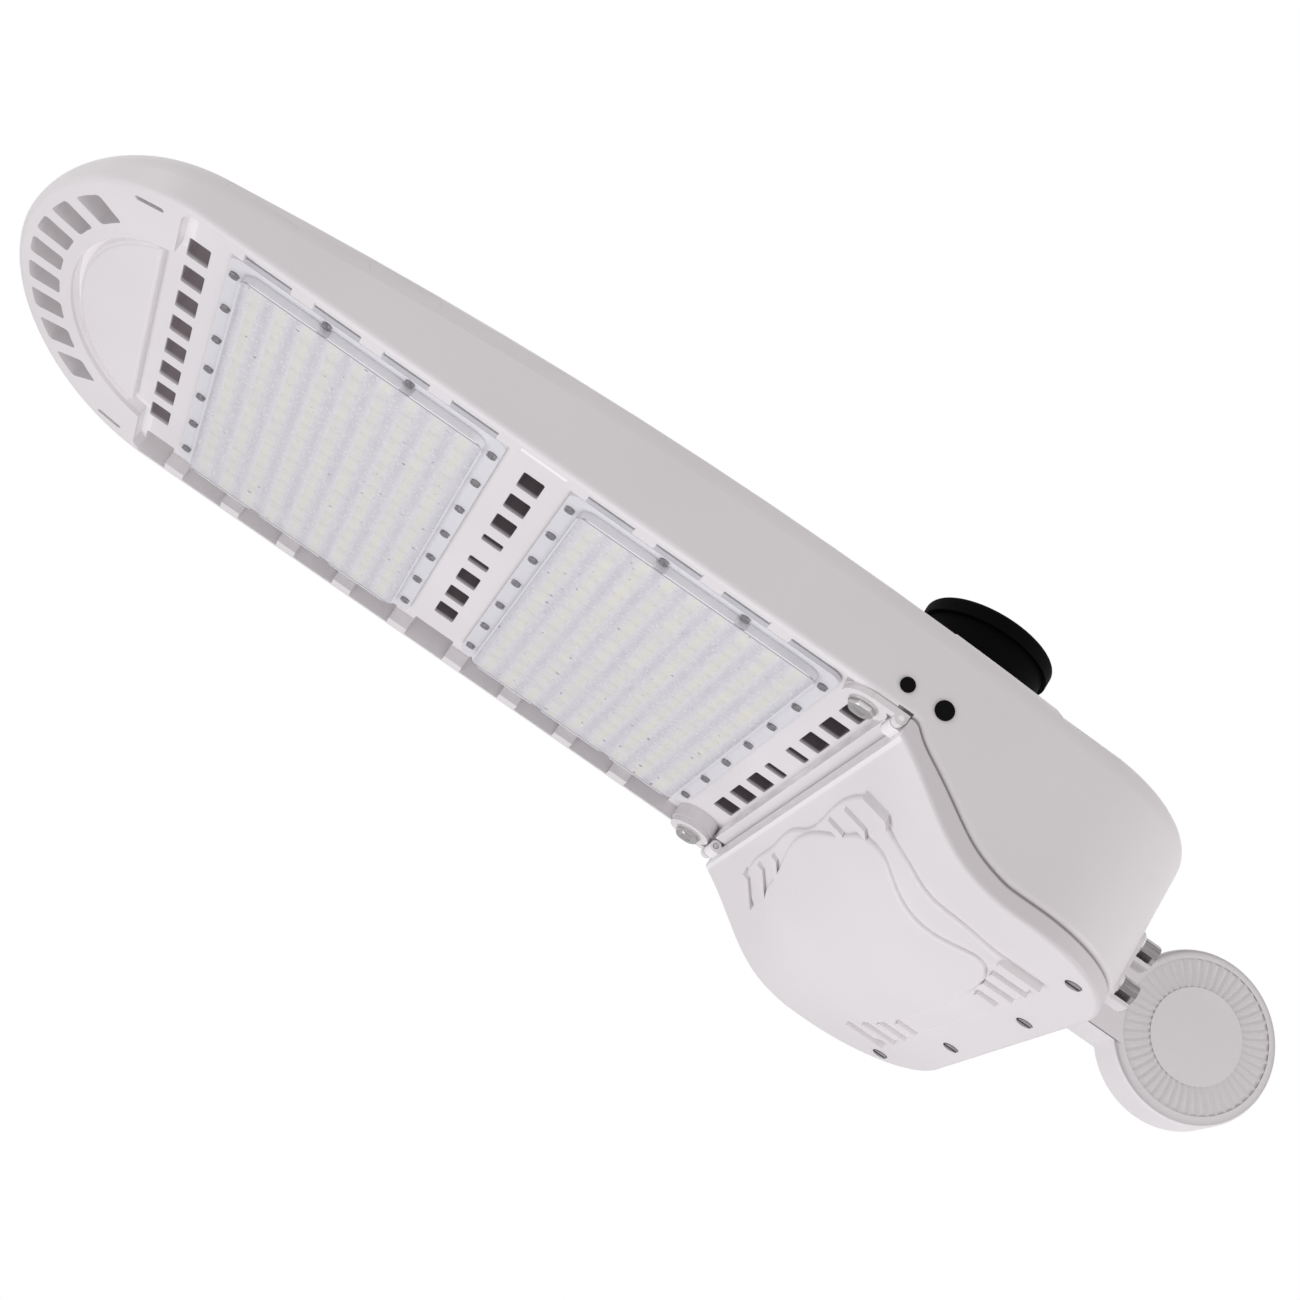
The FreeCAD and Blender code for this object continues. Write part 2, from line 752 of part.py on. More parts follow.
def led_chips(cx):
    z1 = board_pocket_z - board_thickness
    clear = board_screw_head_r + chip_size
    chips = []
    for i in range(lens_rows):
        for j in range(chips_per_row):
            x = cx + (i - (lens_rows - 1) / 2) * lens_row_pitch
            y = (j - (chips_per_row - 1) / 2) * chip_pitch
            near = [p for p in board_screw_places(cx) if math.hypot(p[0] - x, p[1] - y) < clear]
            if not near:
                chips.append(box(x - chip_size / 2, x + chip_size / 2, y - chip_size / 2, y + chip_size / 2,
                                 z1 - chip_height, z1))
    return group(chips)


def modules():
    lens_seat = floor_z - gasket_thickness - lens_flange
    lens_screw = pan_screw(lens_screw_head_r, lens_screw_head, lens_screw_shank_r,
                           floor_z + lens_screw_grip - lens_seat)
    board_screw = pan_screw(board_screw_head_r, board_screw_head, board_screw_shank_r,
                            board_thickness + board_screw_grip)
    lens_screws = []
    board_screws = []
    for name, cx in (("front", module_front_x), ("rear", module_rear_x)):
        save("led_board_" + name, led_board(cx))
        save("led_chips_" + name, led_chips(cx))
        save("lens_gasket_" + name, lens_gasket(cx))
        save("lens_plate_" + name, lens_plate(cx))
        lens_screws += [placed(lens_screw, x, y, lens_seat) for x, y in lens_screw_places(cx)]
        seat = board_pocket_z - board_thickness
        board_screws += [placed(board_screw, x, y, seat) for x, y in board_screw_places(cx)]
    save("lens_screws", group(lens_screws))
    save("board_screws", group(board_screws))


# The door's lower line from the hinge to its level rear stretch, as shares of its length and its fall
door_low_shares = ((0.0, 0.0), (0.082, 0.115), (0.283, 0.44), (0.496, 0.765), (0.648, 0.91), (0.797, 0.98),
                   (1.0, 1.0))


def door_low_points():
    run = door_front_x - door_level_x
    fall = door_front_z - door_low_z
    return [(door_front_x - run * x, door_front_z - fall * z) for x, z in door_low_shares]


def door_under(lift, y0, y1):
    # everything above the door's lower line, raised by lift
    points = [Vector(x, y0, z + lift) for x, z in door_low_points()]
    slope = points[1] - points[0]
    curve = Part.BSplineCurve()
    curve.interpolate(Points=points, InitialTangent=slope, FinalTangent=Vector(-slope.Length, 0, 0))
    corner = Vector(far_rear_x, y0, points[-1].z)
    a = Vector(points[0].x, y0, top_z)
    b = Vector(far_rear_x, y0, top_z)
    edges = [curve.toShape(), Part.makeLine(points[-1], corner), Part.makeLine(corner, b), Part.makeLine(b, a),
             Part.makeLine(a, points[0])]
    return Part.Face(Part.Wire(edges)).extrude(Vector(0, y1 - y0, 0))


# Half outlines of the door's two terraces from the front to the rear, and the ribs at their corners,
# as shares of the relief's length behind its front line and of its half width
outer_relief_shares = ((0.0, 0.0), (0.0, 0.45), (0.015, 0.8), (0.07, 0.93), (0.18, 0.96), (0.285, 1.0), (0.42, 1.0),
                       (0.56, 1.04), (0.74, 1.0), (0.93, 0.96), (0.985, 0.8), (1.0, 0.4), (1.0, 0.0))
inner_relief_shares = ((0.015, 0.0), (0.03, 0.19), (0.09, 0.5), (0.15, 0.76), (0.22, 0.83), (0.32, 0.8), (0.48, 0.76),
                       (0.62, 0.82), (0.74, 0.87), (0.81, 0.78), (0.86, 0.5), (0.885, 0.2), (0.885, 0.0))
front_rib_shares = ((0.03, 0.86, 0.16), (0.03, 0.62, 0.15), (0.03, 0.4, 0.11))
rear_rib_shares = ((0.79, 0.97, 0.19), (0.82, 0.815, 0.165), (0.845, 0.66, 0.14), (0.88, 0.5, 0.095))


def relief_points(shares):
    return [(relief_front_x - relief_length * x, relief_half * y) for x, y in shares]


def relief_outline(shares):
    # one smooth closed outline from its half, as a tall block
    z0 = 2 * seam_low_z
    half = relief_points(shares)
    points = [Vector(x, y, z0) for x, y in half] + [Vector(x, -y, z0) for x, y in half[-2:0:-1]]
    curve = Part.BSplineCurve()
    curve.interpolate(Points=points, PeriodicFlag=True)
    return Part.Face(Part.Wire([curve.toShape()])).extrude(Vector(0, 0, -z0))


def terrace(drop, shares):
    # a raised step that follows the door's lower surface, its lower edge rounded
    y = half_width
    slab = door_under(-drop, -y, y).cut(door_under(door_skin / 2, -y - overrun, y + overrun))
    step = slab.common(relief_outline(shares))
    low = []
    for e in step.Edges:
        mid = e.valueAt((e.FirstParameter + e.LastParameter) / 2)
        inner = door_line_z(mid.x) - drop / 2
        if mid.z < inner and e.Length > relief_round:
            low.append(e)
    return step.makeFillet(relief_round, low)


def rib_bar(x, y, length, turn):
    half = relief_bar_width / 2
    bars = []
    for side in (1, -1):
        bar = box(-length, 0, -half, half, 2 * seam_low_z, 0)
        bar.rotate(Vector(0, 0, 0), Vector(0, 0, 1), -side * turn)
        bar.translate(Vector(x, side * y, 0))
        bars.append(bar)
    return bars


def corner_ribs():
    bars = []
    for shares, turn in ((front_rib_shares, front_rib_turn), (rear_rib_shares, 0)):
        for x, y, length in shares:
            bars += rib_bar(relief_front_x - relief_length * x, relief_half * y, relief_length * length, turn)
    return bars


def driver_door():
    y = half_width + overrun
    z0 = 2 * seam_low_z
    top = above_seam(door_gap, top_z, -y, y)
    body = plan_prism(door_inset, z0, top_z).common(door_under(0, -y, y)).cut(top)
    front = box(far_rear_x, door_front_x, -y, y, z0, top_z)
    body = one(body.common(front))
    low = []
    for e in body.Edges:
        mid = e.valueAt((e.FirstParameter + e.LastParameter) / 2)
        if mid.x < door_front_x - door_round and on_low_line(mid):
            low.append(e)
    body = body.makeFillet(door_round, low)
    # hollow tub inside
    tub = plan_prism(door_inset + wall, z0, top_z).common(door_under(door_skin, -y, y))
    tub = tub.common(box(far_rear_x, door_front_x - wall, -y, y, z0, top_z))
    bosses = [rod(door_boss_r, x, sy, z0, seam_low_z - door_gap) for x, sy in door_screws_xy]
    body = body.cut(tub.cut(bosses))
    # raised panel in two terraces with short ribs at its corners
    upper_skin = door_under(-2 * relief_rise, -y, y).cut(door_under(door_skin / 2, -y - overrun, y + overrun))
    body = body.fuse(terrace(relief_rise, outer_relief_shares)).fuse(terrace(2 * relief_rise, inner_relief_shares))
    body = body.multiFuse([upper_skin.common(r) for r in corner_ribs()])
    barrels = []
    for s in (-1, 1):
        y0, y1 = sorted((s * barrel_inner_y, s * barrel_outer_y))
        barrel = rod_y(barrel_r, pin_x, pin_z, y0, y1)
        arm = box(door_front_x - wall, pin_x, y0, y1, pin_z - barrel_r, pin_z + barrel_r / 2)
        barrels.append(barrel.fuse(arm))
    body = body.multiFuse(barrels)
    cuts = []
    for s in (-1, 1):
        y0, y1 = sorted((s * (barrel_inner_y - overrun), s * (barrel_outer_y + overrun)))
        cuts.append(rod_y(pin_r + fit_gap, pin_x, pin_z, y0, y1))
    for x, sy in door_screws_xy:
        cuts.append(rod(door_screw_r + fit_gap, x, sy, z0, seam_low_z))
        cuts.append(rod(door_screw_head_r + fit_gap, x, sy, z0, door_screw_seat()))
    return one(body.cut(cuts))


def door_screw_seat():
    return door_low_z + door_screw_sunk


def door_line_z(x):
    # the level of the door's lower surface at x, by straight runs between its points
    points = door_low_points() + [(far_rear_x, door_low_z)]
    for (x1, z1), (x0, z0) in zip(points, points[1:]):
        if x0 <= x <= x1:
            return z0 + (x - x0) / (x1 - x0) * (z1 - z0)
    return top_z


def on_low_line(m):
    return abs(m.z - door_line_z(m.x)) < door_gap


def door_gasket():
    y = half_width + overrun
    band = above_seam(door_gap, top_z, -y, y).cut(above_seam(fit_gap, 2 * top_z, -y - overrun, y + overrun))
    outer = door_inset + door_gasket_inset
    inner = wall - door_gasket_inset
    ring = plan_prism(outer, 2 * seam_low_z, top_z)
    ring = ring.cut(plan_prism(inner, 3 * seam_low_z, 2 * top_z))
    ring = ring.common(box(far_rear_x, seam_front_x, -y, y, 2 * seam_low_z, top_z))
    return one(band.common(ring))


def door_parts():
    save("driver_door", driver_door())
    save("door_gasket", door_gasket())
    seat = door_screw_seat()
    reach = seam_low_z + door_screw_reach - seat
    screw = pan_screw(door_screw_head_r, door_screw_head, door_screw_r, reach)
    screw = screw.cut(box(-door_screw_head_r, door_screw_head_r, -door_screw_slot / 2, door_screw_slot / 2,
                          -door_screw_head - overrun, door_screw_slot_depth - door_screw_head))
    save("door_screws", group([placed(screw, x, y, seat) for x, y in door_screws_xy]))


def hinge_parts():
    pins = []
    bolts = []
    bolt = hex_bolt(hex_across, hex_height, ear_bolt_length - bracket_thickness, ear_bolt_r)
    bolt = one(bolt.fuse(rod(hex_flange_r, 0, 0, -hex_flange, 0)))
    for name, s in (("left", 1), ("right", -1)):
        z1 = rim_z
        z0 = rim_z - bracket_thickness
        plate = rod(bracket_r, ear_x, s * ear_y, z0, z1)
        y0, y1 = sorted((s * lug_inner_y, s * lug_outer_y))
        tongue = box(pin_x, ear_x, y0, y1, z0, z1)
        lug = rod_y(barrel_r, pin_x, pin_z, y0, y1).fuse(box(pin_x - barrel_r, pin_x + barrel_r, y0, y1, pin_z, z1))
        body = plate.multiFuse([tongue, lug])
        body = body.cut(rod_y(pin_r, pin_x, pin_z, y0 - overrun, y1 + overrun))
        body = body.cut(rod(ear_bolt_r + fit_gap, ear_x, s * ear_y, z0 - overrun, z1 + overrun))
        save("hinge_bracket_" + name, one(body))
        p0, p1 = sorted((s * barrel_inner_y, s * lug_outer_y))
        pins.append(rod_y(pin_r, pin_x, pin_z, p0, p1))
        bolts.append(placed(bolt, ear_x, s * ear_y, z0))
    save("hinge_pins", group(pins))
    save("ear_bolts", group(bolts))


def tooth_ring():
    # straight V ridges round the near face of the disc, their tips level with the face
    face = knuckle_near
    root = face - tooth_height
    half = tooth_inner_r * math.sin(math.pi / tooth_count)
    inner = tooth_inner_r - tooth_height
    section = Part.makePolygon([Vector(inner, root - tooth_height, -half), Vector(inner, root, -half),
                                Vector(inner, face, 0), Vector(inner, root, half),
                                Vector(inner, root - tooth_height, half),
                                Vector(inner, root - tooth_height, -half)])
    ridge = Part.Face(section).extrude(Vector(tooth_outer_r + tooth_height - inner, 0, 0))
    teeth = []
    for i in range(tooth_count):
        tooth = ridge.copy()
        tooth.rotate(Vector(0, 0, 0), Vector(0, 1, 0), 360 * i / tooth_count)
        teeth.append(tooth)
    return teeth


def arm_neck():
    # a straight neck from the flange to the disc, seen from the side
    return box(0, flange_back_x + wall, -knuckle_far, knuckle_near, neck_low_z, neck_high_z)


def bolt_ledges():
    # short ledges under the bolt heads
    ledges = []
    for y, z in arm_bolts_yz:
        ledges.append(box(flange_back_x - arm_hex_height, flange_back_x + wall, y - ledge_width / 2,
                          y + ledge_width / 2, z - ledge_drop - ledge_thickness, z - ledge_drop))
    return ledges


def mounting_arm():
    disc = rod_y(knuckle_r, 0, 0, -knuckle_far, knuckle_near)
    disc = disc.makeFillet(knuckle_round, [e for e in disc.Edges if abs(e.BoundBox.YLength) < 1e-6])
    half = knuckle_near
    ring = rod_y(tooth_outer_r, 0, 0, half - tooth_height, half + overrun)
    ring = ring.cut(rod_y(tooth_inner_r, 0, 0, half - 2 * tooth_height, half + 2 * overrun))
    flange = Part.makeBox(flange_thickness, 2 * flange_half_width, 2 * flange_half_height,
                          Vector(flange_back_x, -flange_half_width, flange_z - flange_half_height))
    flange = flange.makeFillet(flange_round, [e for e in flange.Edges if e.BoundBox.XLength > flange_thickness / 2])
    body = disc.multiFuse([arm_neck(), flange] + bolt_ledges())
    body = body.cut(ring)
    ring_keep = rod_y(tooth_outer_r, 0, 0, half - 2 * tooth_height, half)
    body = body.multiFuse([t.common(ring_keep) for t in tooth_ring()])
    cuts = [rod_x(arm_bolt_r + fit_gap, y, z, flange_back_x - overrun, rear_wall_x) for y, z in arm_bolts_yz]
    cuts.append(rod_y(pivot_bore_r, 0, 0, -knuckle_far - overrun, pivot_bore_depth - knuckle_far))
    return one(body.cut(cuts))


def arm_parts():
    save("mounting_arm", mounting_arm())
    gasket = Part.makeBox(arm_gasket_thickness, 2 * flange_half_width, 2 * flange_half_height,
                          Vector(flange_front_x, -flange_half_width, flange_z - flange_half_height))
    gasket = gasket.makeFillet(flange_round, [e for e in gasket.Edges if e.BoundBox.XLength > arm_gasket_thickness / 2])
    holes = [rod_x(arm_bolt_r + fit_gap, y, z, flange_back_x, rear_wall_x + overrun) for y, z in arm_bolts_yz]
    save("arm_gasket", one(gasket.cut(holes)))
    seat = flange_back_x - washer_thickness
    bolts = []
    washers = []
    for y, z in arm_bolts_yz:
        bolt = hex_bolt(arm_hex_across, arm_hex_height, arm_bolt_length + washer_thickness - overrun, arm_bolt_r)
        bolt.rotate(Vector(0, 0, 0), Vector(0, 1, 0), 90)
        bolts.append(placed(bolt, seat, y, z))
        ring = rod_x(washer_r, y, z, seat, flange_back_x)
        washers.append(ring.cut(rod_x(arm_bolt_r + fit_gap, y, z, seat - overrun, flange_back_x + overrun)))
    save("arm_bolts", group(bolts))
    save("arm_washers", group(washers))


def arc_bar(r0, r1, z0, z1, start, sweep):
    ring = rod(r1, cap_x, 0, z0, z1).cut(rod(r0, cap_x, 0, z0 - overrun, z1 + overrun))
    reach = 2 * r1
    low = math.radians(start)
    high = math.radians(start + sweep)
    fan = Part.makePolygon([Vector(cap_x, 0, z0),
                            Vector(cap_x + reach * math.cos(low), reach * math.sin(low), z0),
                            Vector(cap_x + reach * math.cos(high), reach * math.sin(high), z0),
                            Vector(cap_x, 0, z0)])
    return ring.common(Part.Face(fan).extrude(Vector(0, 0, z1 - z0)))


receptacle_z = pad_top_z + receptacle_gasket
receptacle_top_z = receptacle_z + receptacle_height
cap_bottom_z = receptacle_top_z + cap_gap
blade_starts = (30.0, 150.0, 270.0)


def contact_z():
    return receptacle_top_z - blade_reach - blade_clear - contact_thickness


def receptacle():
    body = rod(receptacle_r, cap_x, 0, receptacle_z, receptacle_top_z)
    body = body.makeFillet(cap_round / 2, [e for e in body.Edges if e.BoundBox.ZMin > receptacle_top_z - fit_gap])
    cuts = []
    for start in blade_starts:
        cuts.append(arc_bar(blade_r - blade_thickness / 2 - blade_clear, blade_r + blade_thickness / 2 + blade_clear,
                            contact_z(), receptacle_top_z + overrun,
                            start - 2 * blade_clear, blade_arc + cap_twist + 4 * blade_clear))
    for s in (-1, 1):
        y = s * receptacle_screw_y
        cuts.append(rod(receptacle_screw_r + fit_gap, cap_x, y, receptacle_z - overrun, receptacle_top_z))
        cuts.append(rod(receptacle_screw_head_r + fit_gap, cap_x, y,
                        receptacle_top_z - receptacle_screw_head - fit_gap, receptacle_top_z + overrun))
    return one(body.cut(cuts))


def cap_parts():
    save("cap_receptacle", receptacle())
    seal = rod(receptacle_r - fit_gap, cap_x, 0, pad_top_z, receptacle_z)
    seal = seal.cut(rod(wire_hole_r, cap_x, 0, pad_top_z - overrun, receptacle_z + overrun))
    seal = seal.cut([rod(receptacle_screw_r + fit_gap, cap_x, s * receptacle_screw_y, pad_top_z - overrun,
                         receptacle_z + overrun) for s in (-1, 1)])
    save("receptacle_gasket", one(seal))
    seat = receptacle_top_z - receptacle_screw_head - fit_gap
    screw = pan_screw(receptacle_screw_head_r, receptacle_screw_head, receptacle_screw_r, receptacle_height)
    screw.rotate(Vector(0, 0, 0), Vector(1, 0, 0), 180)
    save("receptacle_screws", group([placed(screw, cap_x, s * receptacle_screw_y, seat) for s in (-1, 1)]))
    contacts = []
    for start in blade_starts:
        contacts.append(arc_bar(blade_r - blade_thickness / 2, blade_r + blade_thickness / 2,
                                contact_z(), contact_z() + contact_thickness, start, blade_arc + cap_twist))
    save("receptacle_contacts", group(contacts))
    shell = rod(cap_body_r, cap_x, 0, cap_bottom_z, cap_top_z)
    lip = rod(cap_lip_r, cap_x, 0, cap_top_z - cap_lip, cap_top_z)
    body = shell.fuse(lip).removeSplitter()
    body = body.makeFillet(cap_round, [e for e in body.Edges if e.BoundBox.ZMin > cap_top_z - fit_gap])
    hollow = rod(cap_body_r - cap_wall, cap_x, 0, cap_bottom_z + cap_wall, cap_top_z - cap_wall)
    save("shorting_cap", one(body.cut(hollow)))
    blades = [arc_bar(blade_r - blade_thickness / 2, blade_r + blade_thickness / 2,
                      receptacle_top_z - blade_reach, cap_bottom_z, start, blade_arc) for start in blade_starts]
    save("cap_blades", group(blades))


def plug(r, x):
    y1 = half_width + plug_proud
    body = rod_y(r - fit_gap / 2, x, plug_z, half_width - wall, half_width)
    head = rod_y(r + plug_flange, x, plug_z, half_width, y1)
    return one(body.fuse(head))


def plug_parts():
    save("side_plug_small", plug(plug_small_r, plug_small_x))
    save("side_plug_large", plug(plug_large_r, plug_large_x))


def gear_parts():
    z1 = tray_z + tray_thickness
    tray = rounded_box(tray_x[0], tray_x[1], -tray_half_width, tray_half_width, tray_z, z1, post_r)
    corners = [(x, s * post_y) for x in post_x for s in (-1, 1)]
    tray = tray.cut([rod(tray_screw_r + fit_gap, x, y, tray_z - overrun, z1 + overrun) for x, y in corners])
    tray = tray.cut(rod(wire_hole_r, cap_x, 0, tray_z - overrun, z1 + overrun))
    length, width, height = driver_size
    ends = [(driver_x, s * (width / 2 + driver_ear / 2)) for s in (-1, 1)]
    tray = tray.cut([rod(driver_screw_r, x, y, tray_z - overrun, z1 + overrun) for x, y in ends])
    tray = tray.cut(rod(ground_screw_r, ground_screw_at[0], ground_screw_at[1], tray_z - overrun, z1 + overrun))
    save("gear_tray", one(tray))
    tray_screw = pan_screw(tray_screw_head_r, tray_screw_head, tray_screw_r, tray_thickness + 2 * overrun)
    save("tray_screws", group([placed(tray_screw, x, y, tray_z) for x, y in corners]))
    driver = box(driver_x - length / 2, driver_x + length / 2, -width / 2, width / 2, tray_z - height, tray_z)
    driver = driver.makeFillet(driver_round, [e for e in driver.Edges if e.BoundBox.YLength > width / 2
                                              and e.BoundBox.ZMax < tray_z - 1])
    ears = box(driver_x - length / 4, driver_x + length / 4, -width / 2 - driver_ear, width / 2 + driver_ear,
               tray_z - driver_ear_thickness, tray_z)
    driver = driver.fuse(ears)
    driver = driver.cut([rod(driver_screw_r + fit_gap, x, y, tray_z - height, tray_z + overrun) for x, y in ends])
    save("led_driver", one(driver))
    driver_screw = pan_screw(tray_screw_head_r - fit_gap, tray_screw_head, driver_screw_r,
                             driver_ear_thickness + tray_thickness)
    save("driver_screws", group([placed(driver_screw, x, y, tray_z - driver_ear_thickness) for x, y in ends]))
    sx, sy, sz = surge_size
    surge = rounded_box(surge_at[0] - sx / 2, surge_at[0] + sx / 2, surge_at[1] - sy / 2, surge_at[1] + sy / 2,
                        tray_z - sz, tray_z, surge_round)
    save("surge_protector", surge)
    tx, ty, tz = terminal_size
    block = box(terminal_at[0] - tx / 2, terminal_at[0] + tx / 2, terminal_at[1] - ty / 2, terminal_at[1] + ty / 2,
                tray_z - tz, tray_z)
    pitch = ty / terminal_ways
    ways = []
    for i in range(terminal_ways):
        y = terminal_at[1] - ty / 2 + pitch * (i + 0.5)
        ways.append(rod(terminal_screw_r, terminal_at[0], y, tray_z - tz - overrun, tray_z - tz + overrun))
    save("terminal_block", one(block.cut(ways)))
    lead_pitch = ty / terminal_ways
    leads = [rod_x(lead_r, terminal_at[1] + (i - (lead_count - 1) / 2) * lead_pitch, tray_z - lead_drop,
                   terminal_at[0] + tx / 2, driver_x - length / 2) for i in range(lead_count)]
    save("driver_leads", group(leads))
    ground = pan_screw(tray_screw_head_r, tray_screw_head, ground_screw_r, tray_thickness)
    save("ground_screw", placed(ground, ground_screw_at[0], ground_screw_at[1], tray_z))


save("housing", housing())
modules()
door_parts()
hinge_parts()
arm_parts()
cap_parts()
plug_parts()
gear_parts()
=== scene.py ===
import json

import bpy
import numpy as np
from mathutils import Matrix


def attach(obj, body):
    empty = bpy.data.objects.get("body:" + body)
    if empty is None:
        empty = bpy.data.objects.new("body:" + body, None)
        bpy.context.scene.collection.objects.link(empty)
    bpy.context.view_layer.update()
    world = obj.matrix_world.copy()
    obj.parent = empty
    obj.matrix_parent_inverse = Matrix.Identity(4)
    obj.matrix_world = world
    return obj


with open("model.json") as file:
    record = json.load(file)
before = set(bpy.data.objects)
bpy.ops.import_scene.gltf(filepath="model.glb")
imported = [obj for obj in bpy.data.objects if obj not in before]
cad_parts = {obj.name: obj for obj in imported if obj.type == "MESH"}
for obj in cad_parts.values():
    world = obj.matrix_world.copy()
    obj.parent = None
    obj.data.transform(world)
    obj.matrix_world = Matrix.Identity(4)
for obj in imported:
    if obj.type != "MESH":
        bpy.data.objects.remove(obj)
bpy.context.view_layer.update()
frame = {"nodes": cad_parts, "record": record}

nodes = frame["nodes"]
print("frame loaded:", len(nodes), "nodes")


# lengths are in metres all through, in the frame's own axes
# camera at the photograph's viewing angle; its lens and sensor are in millimetres
camera = {
    "place": (0.469, 1.402, -0.521),
    "right": (-0.8188, 0.2502, 0.5167),
    "up": (0.5706, 0.2559, 0.7804),
    "back": (0.0630, 0.9338, -0.3522),
    "lens": 74.77,
    "sensor": 36.0,
    "clipStart": 0.01,
}


def addCamera():
    data = bpy.data.cameras.new("photoCamera")
    data.lens = camera["lens"]
    data.sensor_width = camera["sensor"]
    data.sensor_fit = "HORIZONTAL"
    data.clip_start = camera["clipStart"]
    obj = bpy.data.objects.new("photoCamera", data)
    bpy.context.scene.collection.objects.link(obj)
    # the three axes are rounded, so the camera takes the true rotation nearest to them
    axes = np.array([camera["right"], camera["up"], camera["back"]]).T
    leftTurn, rightTurn = np.linalg.svd(axes)[::2]
    place = np.eye(4)
    place[:3, :3] = leftTurn @ rightTurn
    place[:3, 3] = camera["place"]
    obj.matrix_world = Matrix(place.tolist())
    bpy.context.scene.camera = obj


addCamera()
print("camera placed")


black = (0.0, 0.0, 0.0)
white = (1.0, 1.0, 1.0)


# node helpers: each that makes a node returns the output that carries its result
def feed(tree, value, socket):
    # links another node's output to the socket, or sets a colour or a number on it
    if isinstance(value, bpy.types.NodeSocket):
        tree.links.new(value, socket)
    elif socket.type == "RGBA":
        socket.default_value = (*value, 1.0)
    else:
        socket.default_value = value


def mathNode(tree, operation, *values):
    node = tree.nodes.new("ShaderNodeMath")
    node.operation = operation
    for value, socket in zip(values, node.inputs):
        feed(tree, value, socket)
    return node.outputs[0]


def mapRange(tree, source, start, end, low, high):
    # carries the stretch from start to end to that from low to high, and holds low and high beyond it
    node = tree.nodes.new("ShaderNodeMapRange")
    names = ("Value", "From Min", "From Max", "To Min", "To Max")
    for name, value in zip(names, (source, start, end, low, high)):
        feed(tree, value, node.inputs[name])
    return node.outputs[0]


# a Mix node's first and second input and its output, by their places among its sockets
mixSockets = {"RGBA": (6, 7, 2), "VECTOR": (4, 5, 1)}


def mixNode(tree, kind, factor, first, second):
    # factor 0 gives first, factor 1 gives second
    mix = tree.nodes.new("ShaderNodeMix")
    mix.data_type = kind
    firstPlace, secondPlace, resultPlace = mixSockets[kind]
    feed(tree, factor, mix.inputs[0])
    feed(tree, first, mix.inputs[firstPlace])
    feed(tree, second, mix.inputs[secondPlace])
    return mix.outputs[resultPlace]


def mixTint(tree, factor, first, second):
    return mixNode(tree, "RGBA", factor, first, second)


def objectCoords(tree):
    return tree.nodes.new("ShaderNodeTexCoord").outputs["Object"]


def objectAxes(tree):
    # x, y and z of the object's own coordinates
    split = tree.nodes.new("ShaderNodeSeparateXYZ")
    tree.links.new(objectCoords(tree), split.inputs["Vector"])
    return list(split.outputs)


def vectorLength(tree, source):
    node = tree.nodes.new("ShaderNodeVectorMath")
    node.operation = "LENGTH"
    tree.links.new(source, node.inputs[0])
    return node.outputs["Value"]


def objectNoise(tree, scale, detail, roughness=0.5):
    # three scales stretch the noise along the axes
    noise = tree.nodes.new("ShaderNodeTexNoise")
    vector = objectCoords(tree)
    if isinstance(scale, tuple):
        mapping = tree.nodes.new("ShaderNodeMapping")
        mapping.inputs["Scale"].default_value = scale
        tree.links.new(vector, mapping.inputs["Vector"])
        vector = mapping.outputs["Vector"]
        scale = 1.0
    tree.links.new(vector, noise.inputs["Vector"])
    noise.inputs["Scale"].default_value = scale
    noise.inputs["Detail"].default_value = detail
    noise.inputs["Roughness"].default_value = roughness
    return noise.outputs[0]


def colourRamp(tree, source, stops):
    ramp = tree.nodes.new("ShaderNodeValToRGB")
    while len(ramp.color_ramp.elements) < len(stops):
        ramp.color_ramp.elements.new(0.5)
    for element, (place, tint) in zip(ramp.color_ramp.elements, stops):
        element.position = place
        element.color = (*tint, 1.0)
    tree.links.new(source, ramp.inputs["Fac"])
    return ramp.outputs["Color"]


def creviceShade(tree, reach, openness, samples=6):
    # 1 on open faces, falling to 0 in narrow corners and gaps, where it paints shade
    shade = tree.nodes.new("ShaderNodeAmbientOcclusion")
    shade.samples = samples
    shade.inputs["Distance"].default_value = reach
    return mapRange(tree, shade.outputs["AO"], *openness, 0.0, 1.0)


def insideBox(tree, low, high, soft):
    # 1 inside a box of the object's own coordinates, 0 outside it: the product of one share for each
    # axis, which falls from 1 to 0 over the soft edge just inside the box's face
    total = None
    for axis, start, end, edge in zip(objectAxes(tree), low, high, soft):
        half = (end - start) / 2
        away = mathNode(tree, "ABSOLUTE", mathNode(tree, "SUBTRACT", axis, (start + end) / 2))
        share = mapRange(tree, away, half - edge, half, 1.0, 0.0)
        total = share if total is None else mathNode(tree, "MULTIPLY", total, share)
    return total


def insideEllipse(tree, centre, halfSizes, soft):
    # 1 inside an upright elliptic column of the object's own coordinates, 0 outside it, from the
    # distance to the column's axis with each half size counted as 1
    mapping = tree.nodes.new("ShaderNodeMapping")
    mapping.inputs["Scale"].default_value = (1 / halfSizes[0], 1 / halfSizes[1], 0.0)
    mapping.inputs["Location"].default_value = (-centre[0] / halfSizes[0], -centre[1] / halfSizes[1], 0.0)
    tree.links.new(objectCoords(tree), mapping.inputs["Vector"])
    return mapRange(tree, vectorLength(tree, mapping.outputs["Vector"]), 1.0 - soft, 1.0, 1.0, 0.0)


